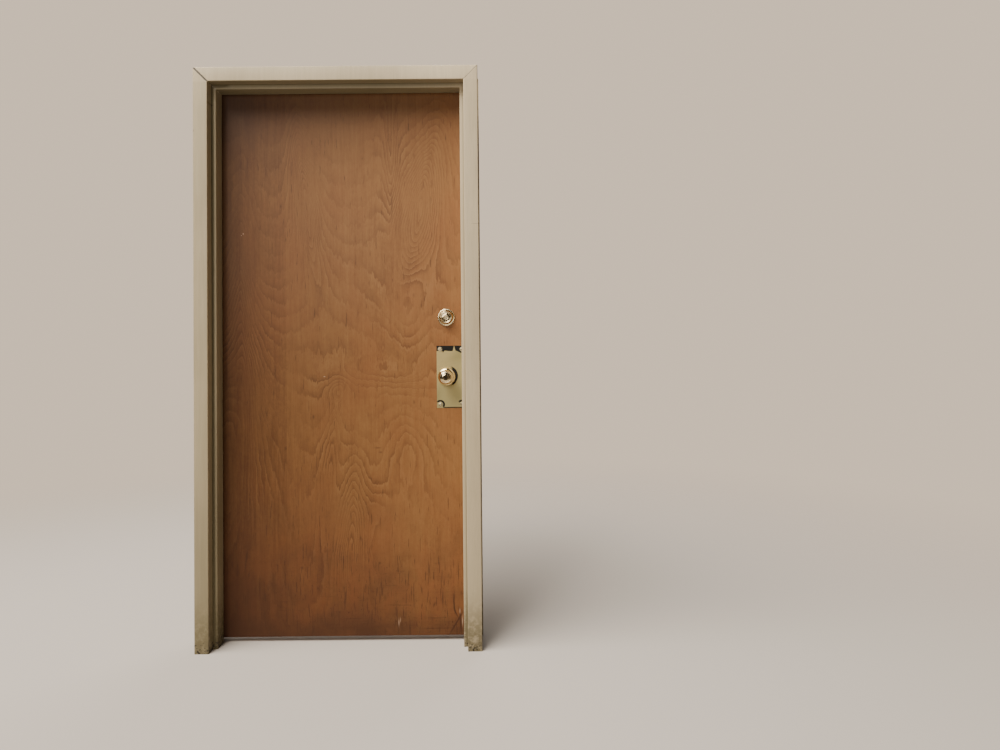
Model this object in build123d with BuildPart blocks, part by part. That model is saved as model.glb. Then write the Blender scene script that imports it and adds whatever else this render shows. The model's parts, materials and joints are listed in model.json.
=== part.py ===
from build123d import *
from math import cos, radians, sin, tan
import os

os.makedirs("parts", exist_ok=True)

# A flush wood door in a pressed-steel double-rabbet frame.
# X runs from the hinge jamb to the strike jamb, with zero at the middle of the opening.
# Y runs from the stop side to the side that the door opens towards, with zero at mid frame depth.
# Z is up, with zero on the finished floor.

# Frame
opening_width = 914.4
opening_height = 2032.0
face_width = 50.8
frame_depth = 146.05
near_rabbet = 39.7
far_rabbet = 49.2
stop_height = 15.9
backbend = 12.7
frame_sheet = 1.5
bend_radius = 1.2
hinge_mitre_gap = 1.2
strike_mitre_gap = 0.3

# Corner gussets
gusset_sheet = 2.0
gusset_leg = 62.0
gusset_margin = 1.0

# Floor anchors
floor_anchor_sheet = 2.0
floor_anchor_width = 40.0
floor_anchor_height = 60.0
floor_anchor_reach = 36.0
floor_bolt_offset = 15.0
floor_bolt_hole = 10.3

# Wall anchors
wall_anchor_sheet = 1.5
wall_anchor_height = 50.0
wall_anchor_setback = 19.5
lower_anchor_height = 480.0
middle_anchor_rise = 105.8
top_anchor_drop = 342.0
wall_screw_hole = 4.8
wall_screw_spread = 80.0

# Door leaf
leaf_thickness = 44.45
edge_gap = 3.2
undercut = 19.0
stop_gap = 1.6
lock_edge_bevel = 3.0
eased_edge = 1.0

# Hinges
hinge_height = 114.3
hinge_open_width = 114.3
hinge_sheet = 3.4
hinge_backset = 6.35
hinge_top_drop = 127.0
hinge_floor_gap = 254.0
barrel_diameter = 14.3
knuckle_count = 5
knuckle_gap = 0.25
pin_diameter = 7.9
pin_clearance = 0.05
pin_head_height = 3.2
tip_stem = 6.0
tip_gap = 0.5
hinge_outer_screw = (12.0, 45.7)
hinge_inner_screw = (29.0, 17.1)
leaf_clearance = 0.4
cutout_clearance = 0.3
reinforcement_sheet = 4.0
reinforcement_overlap = 30.0
reinforcement_inset = 4.0

# Flat-head screws
hinge_screw_head = 10.6
hinge_screw_shank = 5.4
hinge_machine_screw_length = 12.7
hinge_wood_screw_length = 28.0
small_screw_head = 7.6
small_screw_shank = 3.6
strike_screw_length = 9.0
face_screw_length = 16.0
screw_clearance = 0.1

# Silencers
silencer_head = 9.5
silencer_tip = 6.6
silencer_edge = 0.5
silencer_stem = 5.6
silencer_length = 6.0
silencer_clearance = 0.3
silencer_inset = 7.9
lower_silencer_height = 320.0
middle_silencer_rise = 159.8
top_silencer_drop = 202.0

# Lock positions
knob_height = 965.2
deadbolt_rise = 219.0
backset = 69.85
cross_bore = 54.0
edge_bore = 25.4

# Wrap-around plate
plate_width = 107.95
plate_height = 228.6
plate_sheet = 0.8
plate_bend_radius = 0.8
plate_corner = 1.5
plate_screw_inset = 12.7
plate_screw_head = 8.6
plate_screw_shank = 4.2
plate_screw_length = 14.0
plate_screw_crown = 1.2

# Latch and deadbolt face plates in the lock edge
face_plate_height = 57.15
face_plate_width = 25.4
face_plate_sheet = 3.0
face_plate_corner = 5.0
face_screw_spread = 41.3
bolt_clearance = 0.4

# Latch
latch_throw = 12.7
latch_width = 14.0
latch_height = 16.0
latch_head_length = 30.0
latch_nose = 3.5
latch_bevel_radius = 20.0
latch_corner = 1.5
latch_tail_diameter = 6.0
case_wall = 1.2
case_clearance = 0.5

# Deadbolt
deadbolt_throw = 25.4
deadbolt_diameter = 20.8
deadbolt_width = 15.0
deadbolt_length = 34.0
deadbolt_nose_gap = 0.5
deadbolt_case_overrun = 10.0

# Strikes in the strike jamb
latch_strike_height = 123.8
latch_strike_width = 31.75
latch_strike_hole_height = 22.0
latch_strike_hole_width = 19.0
latch_strike_screw_spread = 104.8
lip_height = 36.0
lip_radius = 6.0
lip_angle = 50.0
deadbolt_strike_height = 69.85
deadbolt_strike_width = 28.6
deadbolt_strike_hole_height = 25.0
deadbolt_strike_hole_width = 19.0
deadbolt_strike_screw_spread = 50.0
strike_sheet = 1.5
strike_corner = 3.0
strike_backing = 2.5
strike_backing_overlap = 16.0
dust_box_sheet = 1.0
dust_box_spare = 2.0
dust_box_margin = 3.0

# Knobs and roses
rose_diameter = 65.0
rose_height = 9.0
rose_sheet = 1.6
neck_diameter = 28.0
neck_clearance = 0.3
neck_start = 2.6
knob_diameter = 54.0
knob_projection = 62.0
neck_end_height = 9.3
knob_back_height = 26.7
knob_back_diameter = 41.0
knob_belly_height = 42.2
knob_face_diameter = 40.0
knob_face_crown = 4.0
chassis_diameter = 50.0
chassis_flange_diameter = 58.0
chassis_flange = 2.0
spindle_diameter = 18.0
spindle_bore = 10.0
spindle_clearance = 0.05
spindle_socket = 14.0
chassis_screw_spread = 38.0
chassis_screw_length = 40.0
mounting_head = 7.4
mounting_head_height = 2.2
mounting_shank = 4.0
cylinder_diameter = 21.0
cylinder_length = 24.0
cylinder_proud = 0.8
plug_diameter = 13.0
plug_clearance = 0.05
plug_length = 22.0
keyway_width = 1.8
keyway_height = 8.4
button_diameter = 14.0
button_proud = 7.0
button_stem_length = 12.0
button_wing = 4.0

# Deadbolt trim
collar_diameter = 63.5
collar_flange = 4.0
collar_edge = 1.6
collar_shoulder_diameter = 53.0
collar_rim_diameter = 42.0
collar_height = 18.0
collar_mouth_diameter = 35.4
housing_diameter = 34.6
housing_recess = 1.6
housing_length = 26.0
deadbolt_plug_diameter = 14.6
deadbolt_plug_proud = 1.0
turn_rose_diameter = 63.5
turn_rose_height = 7.0
turn_hub_diameter = 24.0
turn_hub_height = 3.0
turn_grip_length = 42.0
turn_grip_width = 10.0
turn_grip_height = 16.0
turn_stem_diameter = 12.0
tailpiece_width = 5.6
tailpiece_sheet = 2.4
cam_diameter = 12.0
cam_length = 16.0
cam_clearance = 0.5
mounting_sheet = 2.5
mounting_plate_diameter = 52.0
mounting_ring_diameter = 58.0
mounting_screw_spread = 29.4
mounting_screw_bite = 12.0

# Planes and lines that several pieces share
half_opening = opening_width / 2
near_y = -frame_depth / 2
far_y = frame_depth / 2
stop_near_y = near_y + near_rabbet
stop_far_y = far_y - far_rabbet
outer_bend = bend_radius + frame_sheet
leaf_near_y = stop_far_y + stop_gap
leaf_far_y = leaf_near_y + leaf_thickness
leaf_mid_y = (leaf_near_y + leaf_far_y) / 2
leaf_top = opening_height - edge_gap
hinge_edge = -half_opening + edge_gap
lock_edge = half_opening - edge_gap
bevel_run = leaf_thickness * tan(radians(lock_edge_bevel))
lock_edge_mid = lock_edge - bevel_run / 2
lock_x = lock_edge_mid - backset
deadbolt_height = knob_height + deadbolt_rise
knob_near_face = leaf_near_y - plate_sheet
knob_far_face = leaf_far_y + plate_sheet
pin_x = -half_opening + edge_gap / 2
pin_y = leaf_near_y + hinge_backset + hinge_open_width / 2
barrel_radius = barrel_diameter / 2
pin_radius = pin_diameter / 2
bore_radius = pin_radius + pin_clearance
hinge_top_mid = opening_height - hinge_top_drop - hinge_height / 2
hinge_bottom_mid = hinge_floor_gap + hinge_height / 2
hinge_heights = (hinge_bottom_mid, (hinge_bottom_mid + hinge_top_mid) / 2, hinge_top_mid)
knuckle_length = (hinge_height - (knuckle_count - 1) * knuckle_gap) / knuckle_count
knuckle_pitch = knuckle_length + knuckle_gap
gusset_inner = frame_sheet + bend_radius + gusset_margin
gusset_outer = face_width - outer_bend - gusset_margin
stop_back = stop_height - frame_sheet
cutout_near_y = leaf_near_y + hinge_backset - cutout_clearance
backing_far_y = far_y - frame_sheet - bend_radius - gusset_margin
reinforcement_near_y = cutout_near_y - reinforcement_inset
strike_backing_width = 2 * (backing_far_y - leaf_mid_y)
spindle_radius = spindle_diameter / 2
wall_anchor_heights = (
    lower_anchor_height,
    deadbolt_height + middle_anchor_rise,
    opening_height - top_anchor_drop,
)
silencer_heights = (
    lower_silencer_height,
    knob_height + middle_silencer_rise,
    opening_height - top_silencer_drop,
)
silencer_places = [(half_opening - silencer_inset, stop_far_y, height) for height in silencer_heights]

# Directions that a screw head faces
facing_plus_x = (0, 90, 0)
facing_minus_x = (0, -90, 0)
facing_minus_y = (90, 0, 0)
facing_plus_y = (-90, 0, 0)


def save(piece, name):
    piece.part.label = name
    export_step(piece.part, f"parts/{name}.step")


def folded_sheet(plane, points, radii, thickness, side):
    # Section of a sheet whose outer face follows the points
    with BuildSketch(plane) as section:
        with BuildLine():
            FilletPolyline(*points, radius=radii)
            offset(amount=thickness, side=side)
        make_face()
    return section.sketch


def frame_section(plane):
    # Local x runs from the opening into the wall, local y through the wall
    points = [
        (face_width, near_y + backbend),
        (face_width, near_y),
        (0, near_y),
        (0, stop_near_y),
        (-stop_height, stop_near_y),
        (-stop_height, stop_far_y),
        (0, stop_far_y),
        (0, far_y),
        (face_width, far_y),
        (face_width, far_y - backbend),
    ]
    half_radii = [outer_bend, outer_bend, bend_radius, outer_bend]
    radii = half_radii + half_radii[::-1]
    return folded_sheet(plane, points, radii, frame_sheet, Side.RIGHT)


def flat_screw(head, shank, length, clearance=0.0):
    # Flat-head screw with its face at the origin and its shank along -Z
    with BuildPart(mode=Mode.PRIVATE) as screw:
        with BuildSketch(Plane.XZ) as half:
            with BuildLine():
                head_radius = head / 2 + clearance
                shank_radius = shank / 2 + clearance
                cone = head_radius - shank_radius
                Polyline(
                    (0, 0),
                    (head_radius, 0),
                    (shank_radius, -cone),
                    (shank_radius, -length - clearance),
                    (0, -length - clearance),
                    close=True,
                )
            make_face()
        revolve(axis=Axis.Z)
    return screw.part


def crowned_screw(head, shank, length, crown, clearance=0.0):
    # Screw with a low domed head that stands proud
    with BuildPart(mode=Mode.PRIVATE) as screw:
        with BuildSketch(Plane.XZ):
            with BuildLine():
                head_radius = head / 2
                shank_radius = shank / 2 + clearance
                Polyline(
                    (head_radius, 0),
                    (shank_radius, 0),
                    (shank_radius, -length - clearance),
                    (0, -length - clearance),
                    (0, crown),
                )
                cap_arc((head_radius, 0), (0, crown))
            make_face()
        revolve(axis=Axis.Z)
    return screw.part


def cap_arc(edge, top):
    # Arc of a spherical cap whose top lies on its axis
    radius = edge[0]
    rise = top[1] - edge[1]
    RadiusArc(edge, top, -(radius**2 + rise**2) / (2 * rise))


def turning_plane(face_y, height, towards):
    # Local x is the radius, local y the height above the face: towards -1 is the near side, 1 the far side
    return Plane(origin=(lock_x, face_y, height), x_dir=(1, 0, 0), z_dir=(0, 0, towards))


def lock_axis(height):
    return Axis((lock_x, 0, height), (0, 1, 0))


def edge_plane(height):
    # Plane of the bevelled lock edge: local x runs to the far face, local y up, normal out of the edge
    tilt = radians(lock_edge_bevel)
    origin = (lock_edge_mid, leaf_mid_y, height)
    return Plane(origin=origin, x_dir=(sin(tilt), cos(tilt), 0), z_dir=(cos(tilt), -sin(tilt), 0))


# Screws and their holes
machine_size = (hinge_screw_head, hinge_screw_shank, hinge_machine_screw_length)
wood_size = (hinge_screw_head, hinge_screw_shank, hinge_wood_screw_length)
strike_size = (small_screw_head, small_screw_shank, strike_screw_length)
face_size = (small_screw_head, small_screw_shank, face_screw_length)
plate_size = (plate_screw_head, plate_screw_shank, plate_screw_length, plate_screw_crown)
hinge_machine_hole = flat_screw(*machine_size, screw_clearance)
hinge_wood_hole = flat_screw(*wood_size, screw_clearance)
strike_screw_hole = flat_screw(*strike_size, screw_clearance)
face_screw_hole = flat_screw(*face_size, screw_clearance)
plate_screw_hole = crowned_screw(*plate_size, screw_clearance)

# Places of repeated screws
hinge_screw_places = [
    (leaf_near_y + hinge_backset + inset, side * rise)
    for inset, rise in (hinge_outer_screw, hinge_inner_screw)
    for side in (-1, 1)
]


def hinge_screw_locations(x, facing):
    return [
        Location((x, y, middle + z), facing) for middle in hinge_heights for y, z in hinge_screw_places
    ]


frame_screw_locations = hinge_screw_locations(-half_opening, facing_plus_x)
door_screw_locations = hinge_screw_locations(hinge_edge, facing_minus_x)
strike_screw_locations = [
    Location((half_opening, leaf_mid_y, height + side * spread / 2), facing_minus_x)
    for height, spread in (
        (knob_height, latch_strike_screw_spread),
        (deadbolt_height, deadbolt_strike_screw_spread),
    )
    for side in (-1, 1)
]
face_screw_locations = [
    Location((lock_edge_mid, leaf_mid_y, height + side * face_screw_spread / 2), (0, 90, -lock_edge_bevel))
    for height in (knob_height, deadbolt_height)
    for side in (-1, 1)
]
plate_inner_x = lock_edge - plate_width
plate_screw_xs = (plate_inner_x + plate_screw_inset, lock_edge - bevel_run - plate_screw_inset)
plate_screw_zs = [knob_height + side * (plate_height / 2 - plate_screw_inset) for side in (-1, 1)]
plate_screw_locations = [
    Location((x, y, z), facing)
    for y, facing in ((knob_near_face, facing_minus_y), (knob_far_face, facing_plus_y))
    for x in plate_screw_xs
    for z in plate_screw_zs
]

# Mitre planes, each facing the head
hinge_mitre = Plane(origin=(-half_opening, 0, opening_height), x_dir=(0, 1, 0), z_dir=(1, 0, 1))
strike_mitre = Plane(origin=(half_opening, 0, opening_height), x_dir=(0, 1, 0), z_dir=(-1, 0, 1))

# Hinge jamb, notched through its far corner for the hinge leaves
with BuildPart() as hinge_jamb:
    add(frame_section(Plane(origin=(-half_opening, 0, 0), x_dir=(-1, 0, 0), z_dir=(0, 0, -1))))
    extrude(amount=opening_height + face_width, dir=(0, 0, 1))
    split(bisect_by=hinge_mitre.offset(-hinge_mitre_gap / 2), keep=Keep.BOTTOM)
    with Locations(*[(-half_opening, cutout_near_y, middle) for middle in hinge_heights]):
        Box(
            2 * (hinge_sheet + cutout_clearance),
            frame_depth,
            hinge_height + 2 * cutout_clearance,
            align=(Align.CENTER, Align.MIN, Align.CENTER),
            mode=Mode.SUBTRACT,
        )
save(hinge_jamb, "hinge_jamb")

# Strike jamb, cut out for both strikes, the lip and the silencers
with BuildPart() as strike_jamb:
    add(frame_section(Plane(origin=(half_opening, 0, 0), x_dir=(1, 0, 0), z_dir=(0, 0, 1))))
    extrude(amount=opening_height + face_width)
    split(bisect_by=strike_mitre.offset(-strike_mitre_gap / 2), keep=Keep.BOTTOM)
    for height, tall, wide in (
        (knob_height, latch_strike_height, latch_strike_width),
        (deadbolt_height, deadbolt_strike_height, deadbolt_strike_width),
    ):
        with Locations((half_opening, leaf_mid_y, height)):
            Box(
                2 * (frame_sheet + cutout_clearance),
                wide + 2 * cutout_clearance,
                tall + 2 * cutout_clearance,
                mode=Mode.SUBTRACT,
            )
    with Locations((half_opening, leaf_mid_y, knob_height)):
        Box(
            2 * (outer_bend + cutout_clearance),
            frame_depth,
            lip_height + 2 * cutout_clearance,
            align=(Align.CENTER, Align.MIN, Align.CENTER),
            mode=Mode.SUBTRACT,
        )
    with Locations(*silencer_places):
        stem_hole_radius = silencer_stem / 2 + screw_clearance
        Cylinder(stem_hole_radius, 4 * frame_sheet, rotation=facing_plus_y, mode=Mode.SUBTRACT)
save(strike_jamb, "strike_jamb")

# Head, with the same section as the jambs
with BuildPart() as frame_head:
    head_end = (half_opening + face_width, 0, opening_height)
    add(frame_section(Plane(origin=head_end, x_dir=(0, 0, 1), z_dir=(-1, 0, 0))))
    extrude(amount=opening_width + 2 * face_width, dir=(-1, 0, 0))
    split(bisect_by=hinge_mitre.offset(hinge_mitre_gap / 2), keep=Keep.TOP)
    split(bisect_by=strike_mitre.offset(strike_mitre_gap / 2), keep=Keep.TOP)
save(frame_head, "frame_head")

# Corner gussets behind both faces of both mitres
with BuildPart() as corner_gussets:
    for back_y in (near_y + frame_sheet, far_y - frame_sheet - gusset_sheet):
        with BuildSketch(Plane.XZ.offset(-back_y)):
            with BuildLine():
                Polyline(
                    (half_opening + gusset_outer, opening_height - gusset_leg),
                    (half_opening + gusset_outer, opening_height + gusset_outer),
                    (half_opening - gusset_leg, opening_height + gusset_outer),
                    (half_opening - gusset_leg, opening_height + gusset_inner),
                    (half_opening + gusset_inner, opening_height + gusset_inner),
                    (half_opening + gusset_inner, opening_height - gusset_leg),
                    close=True,
                )
            make_face()
        extrude(amount=gusset_sheet, dir=(0, 1, 0))
    mirror(about=Plane.YZ)
save(corner_gussets, "corner_gussets")

# Floor anchors, an angle at the foot of each jamb
with BuildPart() as floor_anchors:
    add(
        folded_sheet(
            Plane.XZ.offset(floor_anchor_width / 2),
            [
                (half_opening - stop_back, floor_anchor_height),
                (half_opening - stop_back, 0),
                (half_opening + floor_anchor_reach, 0),
            ],
            [floor_anchor_sheet + bend_radius],
            floor_anchor_sheet,
            Side.LEFT,
        )
    )
    extrude(amount=floor_anchor_width, dir=(0, 1, 0))
    with Locations((half_opening + floor_bolt_offset, 0, 0)):
        Cylinder(floor_bolt_hole / 2, 4 * floor_anchor_sheet, mode=Mode.SUBTRACT)
    mirror(about=Plane.YZ)
save(floor_anchors, "floor_anchors")

# Wall anchors, straps across the throat with two screw holes each
with BuildPart() as wall_anchors:
    for height in wall_anchor_heights:
        add(
            folded_sheet(
                Plane.XY.offset(height - wall_anchor_height / 2),
                [
                    (half_opening + gusset_inner, near_y + frame_sheet),
                    (half_opening + wall_anchor_setback, near_y + frame_sheet),
                    (half_opening + wall_anchor_setback, far_y - frame_sheet),
                    (half_opening + gusset_inner, far_y - frame_sheet),
                ],
                [wall_anchor_sheet + bend_radius] * 2,
                wall_anchor_sheet,
                Side.LEFT,
            )
        )
    extrude(amount=wall_anchor_height)
    anchor_holes = [
        (half_opening + wall_anchor_setback, side * wall_screw_spread / 2, height)
        for height in wall_anchor_heights
        for side in (-1, 1)
    ]
    with Locations(*anchor_holes):
        Cylinder(wall_screw_hole / 2, 4 * wall_anchor_sheet, rotation=facing_plus_x, mode=Mode.SUBTRACT)
    mirror(about=Plane.YZ)
save(wall_anchors, "wall_anchors")

# Hinge reinforcements, joggled so that each leaf lies flush with the rabbet
for number, middle in enumerate(hinge_heights, start=1):
    with BuildPart() as reinforcement:
        cut_half = hinge_height / 2 + cutout_clearance
        outer_half = cut_half + reinforcement_overlap
        add(
            folded_sheet(
                Plane.XZ.offset(-reinforcement_near_y),
                [
                    (-half_opening - frame_sheet, middle - outer_half),
                    (-half_opening - frame_sheet, middle - cut_half - 2 * frame_sheet),
                    (-half_opening - hinge_sheet, middle - cut_half - cutout_clearance),
                    (-half_opening - hinge_sheet, middle + cut_half + cutout_clearance),
                    (-half_opening - frame_sheet, middle + cut_half + 2 * frame_sheet),
                    (-half_opening - frame_sheet, middle + outer_half),
                ],
                0,
                reinforcement_sheet,
                Side.LEFT,
            )
        )
        extrude(amount=backing_far_y - reinforcement_near_y, dir=(0, 1, 0))
        for location in frame_screw_locations:
            with Locations(location):
                add(hinge_machine_hole, mode=Mode.SUBTRACT)
    save(reinforcement, f"hinge_reinforcement_{number}")

# Hinges: the frame leaf has the odd knuckles, the door leaf the even ones
for number, middle in enumerate(hinge_heights, start=1):
    for owner, side, remainder, holes, locations in (
        ("frame", -1, 0, hinge_machine_hole, frame_screw_locations),
        ("door", 1, 1, hinge_wood_hole, door_screw_locations),
    ):
        with BuildPart() as hinge_leaf:
            with Locations((pin_x + side * edge_gap / 2, pin_y, middle)):
                Box(
                    hinge_sheet,
                    hinge_open_width / 2,
                    hinge_height,
                    align=(Align.MIN if side > 0 else Align.MAX, Align.MAX, Align.CENTER),
                )
            knuckles = [
                middle - hinge_height / 2 + knuckle_length / 2 + index * knuckle_pitch
                for index in range(knuckle_count)
            ]
            own = [height for index, height in enumerate(knuckles) if index % 2 == remainder]
            other = [height for index, height in enumerate(knuckles) if index % 2 != remainder]
            with Locations(*[(pin_x, pin_y, height) for height in other]):
                Cylinder(
                    barrel_radius + leaf_clearance, knuckle_length + 2 * knuckle_gap, mode=Mode.SUBTRACT
                )
            with Locations(*[(pin_x, pin_y, height) for height in own]):
                Cylinder(barrel_radius, knuckle_length)
            with Locations((pin_x, pin_y, middle)):
                Cylinder(bore_radius, hinge_height + knuckle_length, mode=Mode.SUBTRACT)
            for location in locations:
                with Locations(location):
                    add(holes, mode=Mode.SUBTRACT)
        save(hinge_leaf, f"{owner}_hinge_leaf_{number}")

# Hinge pins with a button head above the top knuckle
tip_top = -hinge_height / 2 + tip_stem
for number, middle in enumerate(hinge_heights, start=1):
    with BuildPart() as hinge_pin:
        with BuildSketch(Plane(origin=(pin_x, pin_y, middle), x_dir=(1, 0, 0), z_dir=(0, -1, 0))):
            with BuildLine():
                top = hinge_height / 2
                Polyline(
                    (0, top + pin_head_height),
                    (0, tip_top + tip_gap),
                    (pin_radius, tip_top + tip_gap),
                    (pin_radius, top),
                    (barrel_radius, top),
                    (barrel_radius, top + pin_head_height / 3),
                )
                cap_arc((barrel_radius, top + pin_head_height / 3), (0, top + pin_head_height))
            make_face()
        revolve(axis=Axis((pin_x, pin_y, 0), (0, 0, 1)))
    save(hinge_pin, f"hinge_pin_{number}")

# Bottom tips, pressed up into the lowest knuckles
with BuildPart() as hinge_tips:
    for middle in hinge_heights:
        with BuildSketch(Plane(origin=(pin_x, pin_y, middle), x_dir=(1, 0, 0), z_dir=(0, 1, 0))):
            with BuildLine():
                bottom = hinge_height / 2
                Polyline(
                    (0, bottom + pin_head_height),
                    (0, -tip_top),
                    (pin_radius, -tip_top),
                    (pin_radius, bottom),
                    (barrel_radius, bottom),
                    (barrel_radius, bottom + pin_head_height / 3),
                )
                cap_arc((barrel_radius, bottom + pin_head_height / 3), (0, bottom + pin_head_height))
            make_face()
    revolve(axis=Axis((pin_x, pin_y, 0), (0, 0, 1)))
save(hinge_tips, "hinge_tips")

with BuildPart() as hinge_frame_screws:
    with Locations(*frame_screw_locations):
        add(flat_screw(*machine_size))
save(hinge_frame_screws, "hinge_frame_screws")

with BuildPart() as hinge_door_screws:
    with Locations(*door_screw_locations):
        add(flat_screw(*wood_size))
save(hinge_door_screws, "hinge_door_screws")

# Rubber silencers in the far face of the strike stop
with BuildPart() as door_silencers:
    for place in silencer_places:
        with BuildSketch(Plane(origin=place, x_dir=(1, 0, 0), z_dir=(0, 0, 1))):
            with BuildLine():
                stem_radius = silencer_stem / 2
                head_radius = silencer_head / 2
                head_height = stop_gap - silencer_clearance
                Polyline(
                    (0, head_height),
                    (silencer_tip / 2, head_height),
                    (head_radius, silencer_edge),
                    (head_radius, 0),
                    (stem_radius, 0),
                    (stem_radius, -silencer_length),
                    (0, -silencer_length),
                    close=True,
                )
            make_face()
        revolve(axis=Axis(place, (0, 1, 0)))
save(door_silencers, "door_silencers")

# Strike plates, their backing plates and dust boxes
with BuildPart() as latch_strike_plate:
    with BuildSketch(Plane.YZ.offset(half_opening)):
        with Locations((leaf_mid_y, knob_height)):
            RectangleRounded(latch_strike_width, latch_strike_height, strike_corner)
    extrude(amount=strike_sheet)
    with BuildSketch(Plane.XY.offset(knob_height - lip_height / 2)):
        with BuildLine():
            flat = Line((half_opening, leaf_mid_y), (half_opening, far_y - strike_sheet))
            JernArc(start=flat @ 1, tangent=flat % 1, radius=lip_radius, arc_size=-lip_angle)
            offset(amount=strike_sheet, side=Side.RIGHT)
        make_face()
    extrude(amount=lip_height)
    with Locations((half_opening, leaf_mid_y, knob_height)):
        Box(4 * strike_sheet, latch_strike_hole_width, latch_strike_hole_height, mode=Mode.SUBTRACT)
    for location in strike_screw_locations[:2]:
        with Locations(location):
            add(strike_screw_hole, mode=Mode.SUBTRACT)
save(latch_strike_plate, "latch_strike_plate")

with BuildPart() as deadbolt_strike_plate:
    with BuildSketch(Plane.YZ.offset(half_opening)):
        with Locations((leaf_mid_y, deadbolt_height)):
            RectangleRounded(deadbolt_strike_width, deadbolt_strike_height, strike_corner)
            Rectangle(deadbolt_strike_hole_width, deadbolt_strike_hole_height, mode=Mode.SUBTRACT)
    extrude(amount=strike_sheet)
    for location in strike_screw_locations[2:]:
        with Locations(location):
            add(strike_screw_hole, mode=Mode.SUBTRACT)
save(deadbolt_strike_plate, "deadbolt_strike_plate")

for name, height, throw, tall, hole_height, hole_width, locations in (
    (
        "latch",
        knob_height,
        latch_throw,
        latch_strike_height,
        latch_strike_hole_height,
        latch_strike_hole_width,
        strike_screw_locations[:2],
    ),
    (
        "deadbolt",
        deadbolt_height,
        deadbolt_throw,
        deadbolt_strike_height,
        deadbolt_strike_hole_height,
        deadbolt_strike_hole_width,
        strike_screw_locations[2:],
    ),
):
    box_width = hole_width + 2 * dust_box_margin
    box_height = hole_height + 2 * dust_box_margin
    box_depth = throw + dust_box_spare
    with BuildPart() as strike_reinforcement:
        with BuildSketch(Plane.YZ.offset(half_opening + frame_sheet)):
            with Locations((leaf_mid_y, height)):
                Rectangle(strike_backing_width, tall + 2 * strike_backing_overlap)
                Rectangle(hole_width, hole_height, mode=Mode.SUBTRACT)
        extrude(amount=strike_backing)
        for location in locations:
            with Locations(location):
                add(strike_screw_hole, mode=Mode.SUBTRACT)
    save(strike_reinforcement, f"{name}_strike_reinforcement")

    with BuildPart() as dust_box:
        with Locations((half_opening + frame_sheet + strike_backing, leaf_mid_y, height)):
            Box(box_depth, box_width, box_height, align=(Align.MIN, Align.CENTER, Align.CENTER))
            Box(
                box_depth - dust_box_sheet,
                box_width - 2 * dust_box_sheet,
                box_height - 2 * dust_box_sheet,
                align=(Align.MIN, Align.CENTER, Align.CENTER),
                mode=Mode.SUBTRACT,
            )
    save(dust_box, f"{name}_dust_box")

with BuildPart() as strike_screws:
    with Locations(*strike_screw_locations):
        add(flat_screw(*strike_size))
save(strike_screws, "strike_screws")

# Door leaf with its mortises, bores and pilot holes
with BuildPart() as door_leaf:
    with BuildSketch(Plane.XY.offset(undercut)) as leaf_section:
        with BuildLine():
            Polyline(
                (hinge_edge, leaf_near_y),
                (lock_edge - bevel_run, leaf_near_y),
                (lock_edge, leaf_far_y),
                (hinge_edge, leaf_far_y),
                close=True,
            )
        make_face()
        fillet(leaf_section.vertices(), eased_edge)
    extrude(amount=leaf_top - undercut)
    with Locations(*[(hinge_edge, cutout_near_y, middle) for middle in hinge_heights]):
        Box(
            2 * hinge_sheet,
            frame_depth,
            hinge_height + 2 * cutout_clearance,
            align=(Align.CENTER, Align.MIN, Align.CENTER),
            mode=Mode.SUBTRACT,
        )
    with Locations((lock_x, leaf_mid_y, knob_height), (lock_x, leaf_mid_y, deadbolt_height)):
        Cylinder(cross_bore / 2, 2 * leaf_thickness, rotation=facing_plus_y, mode=Mode.SUBTRACT)
        Cylinder(
            edge_bore / 2,
            2 * backset,
            rotation=facing_plus_x,
            align=(Align.CENTER, Align.CENTER, Align.MIN),
            mode=Mode.SUBTRACT,
        )
    for height in (knob_height, deadbolt_height):
        with BuildSketch(edge_plane(height).offset(-face_plate_sheet)):
            RectangleRounded(
                face_plate_width + 2 * screw_clearance,
                face_plate_height + 2 * screw_clearance,
                face_plate_corner,
            )
        extrude(amount=2 * face_plate_sheet, mode=Mode.SUBTRACT)
    for hole, locations in (
        (hinge_wood_hole, door_screw_locations),
        (face_screw_hole, face_screw_locations),
        (plate_screw_hole, plate_screw_locations),
    ):
        for location in locations:
            with Locations(location):
                add(hole, mode=Mode.SUBTRACT)
save(door_leaf, "door_leaf")

# Brass plate wrapped round the lock edge, with square-set screws near its corners
with BuildPart() as wrap_plate:
    add(
        folded_sheet(
            Plane.XY.offset(knob_height - plate_height / 2),
            [
                (plate_inner_x, leaf_near_y),
                (lock_edge - bevel_run, leaf_near_y),
                (lock_edge, leaf_far_y),
                (plate_inner_x, leaf_far_y),
            ],
            [plate_bend_radius] * 2,
            plate_sheet,
            Side.RIGHT,
        )
    )
    extrude(amount=plate_height)
    fillet(wrap_plate.edges().filter_by(Axis.Y).group_by(Axis.X)[0], plate_corner)
    with Locations((lock_x, leaf_mid_y, knob_height)):
        Cylinder(cross_bore / 2, 2 * leaf_thickness, rotation=facing_plus_y, mode=Mode.SUBTRACT)
    with BuildSketch(edge_plane(knob_height).offset(-plate_sheet)):
        RectangleRounded(
            face_plate_width + 2 * cutout_clearance,
            face_plate_height + 2 * cutout_clearance,
            face_plate_corner,
        )
    extrude(amount=4 * plate_sheet, mode=Mode.SUBTRACT)
    for location in plate_screw_locations:
        with Locations(location):
            add(plate_screw_hole, mode=Mode.SUBTRACT)
save(wrap_plate, "wrap_plate")

with BuildPart() as wrap_plate_screws:
    with Locations(*plate_screw_locations):
        add(crowned_screw(*plate_size))
save(wrap_plate_screws, "wrap_plate_screws")

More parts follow.
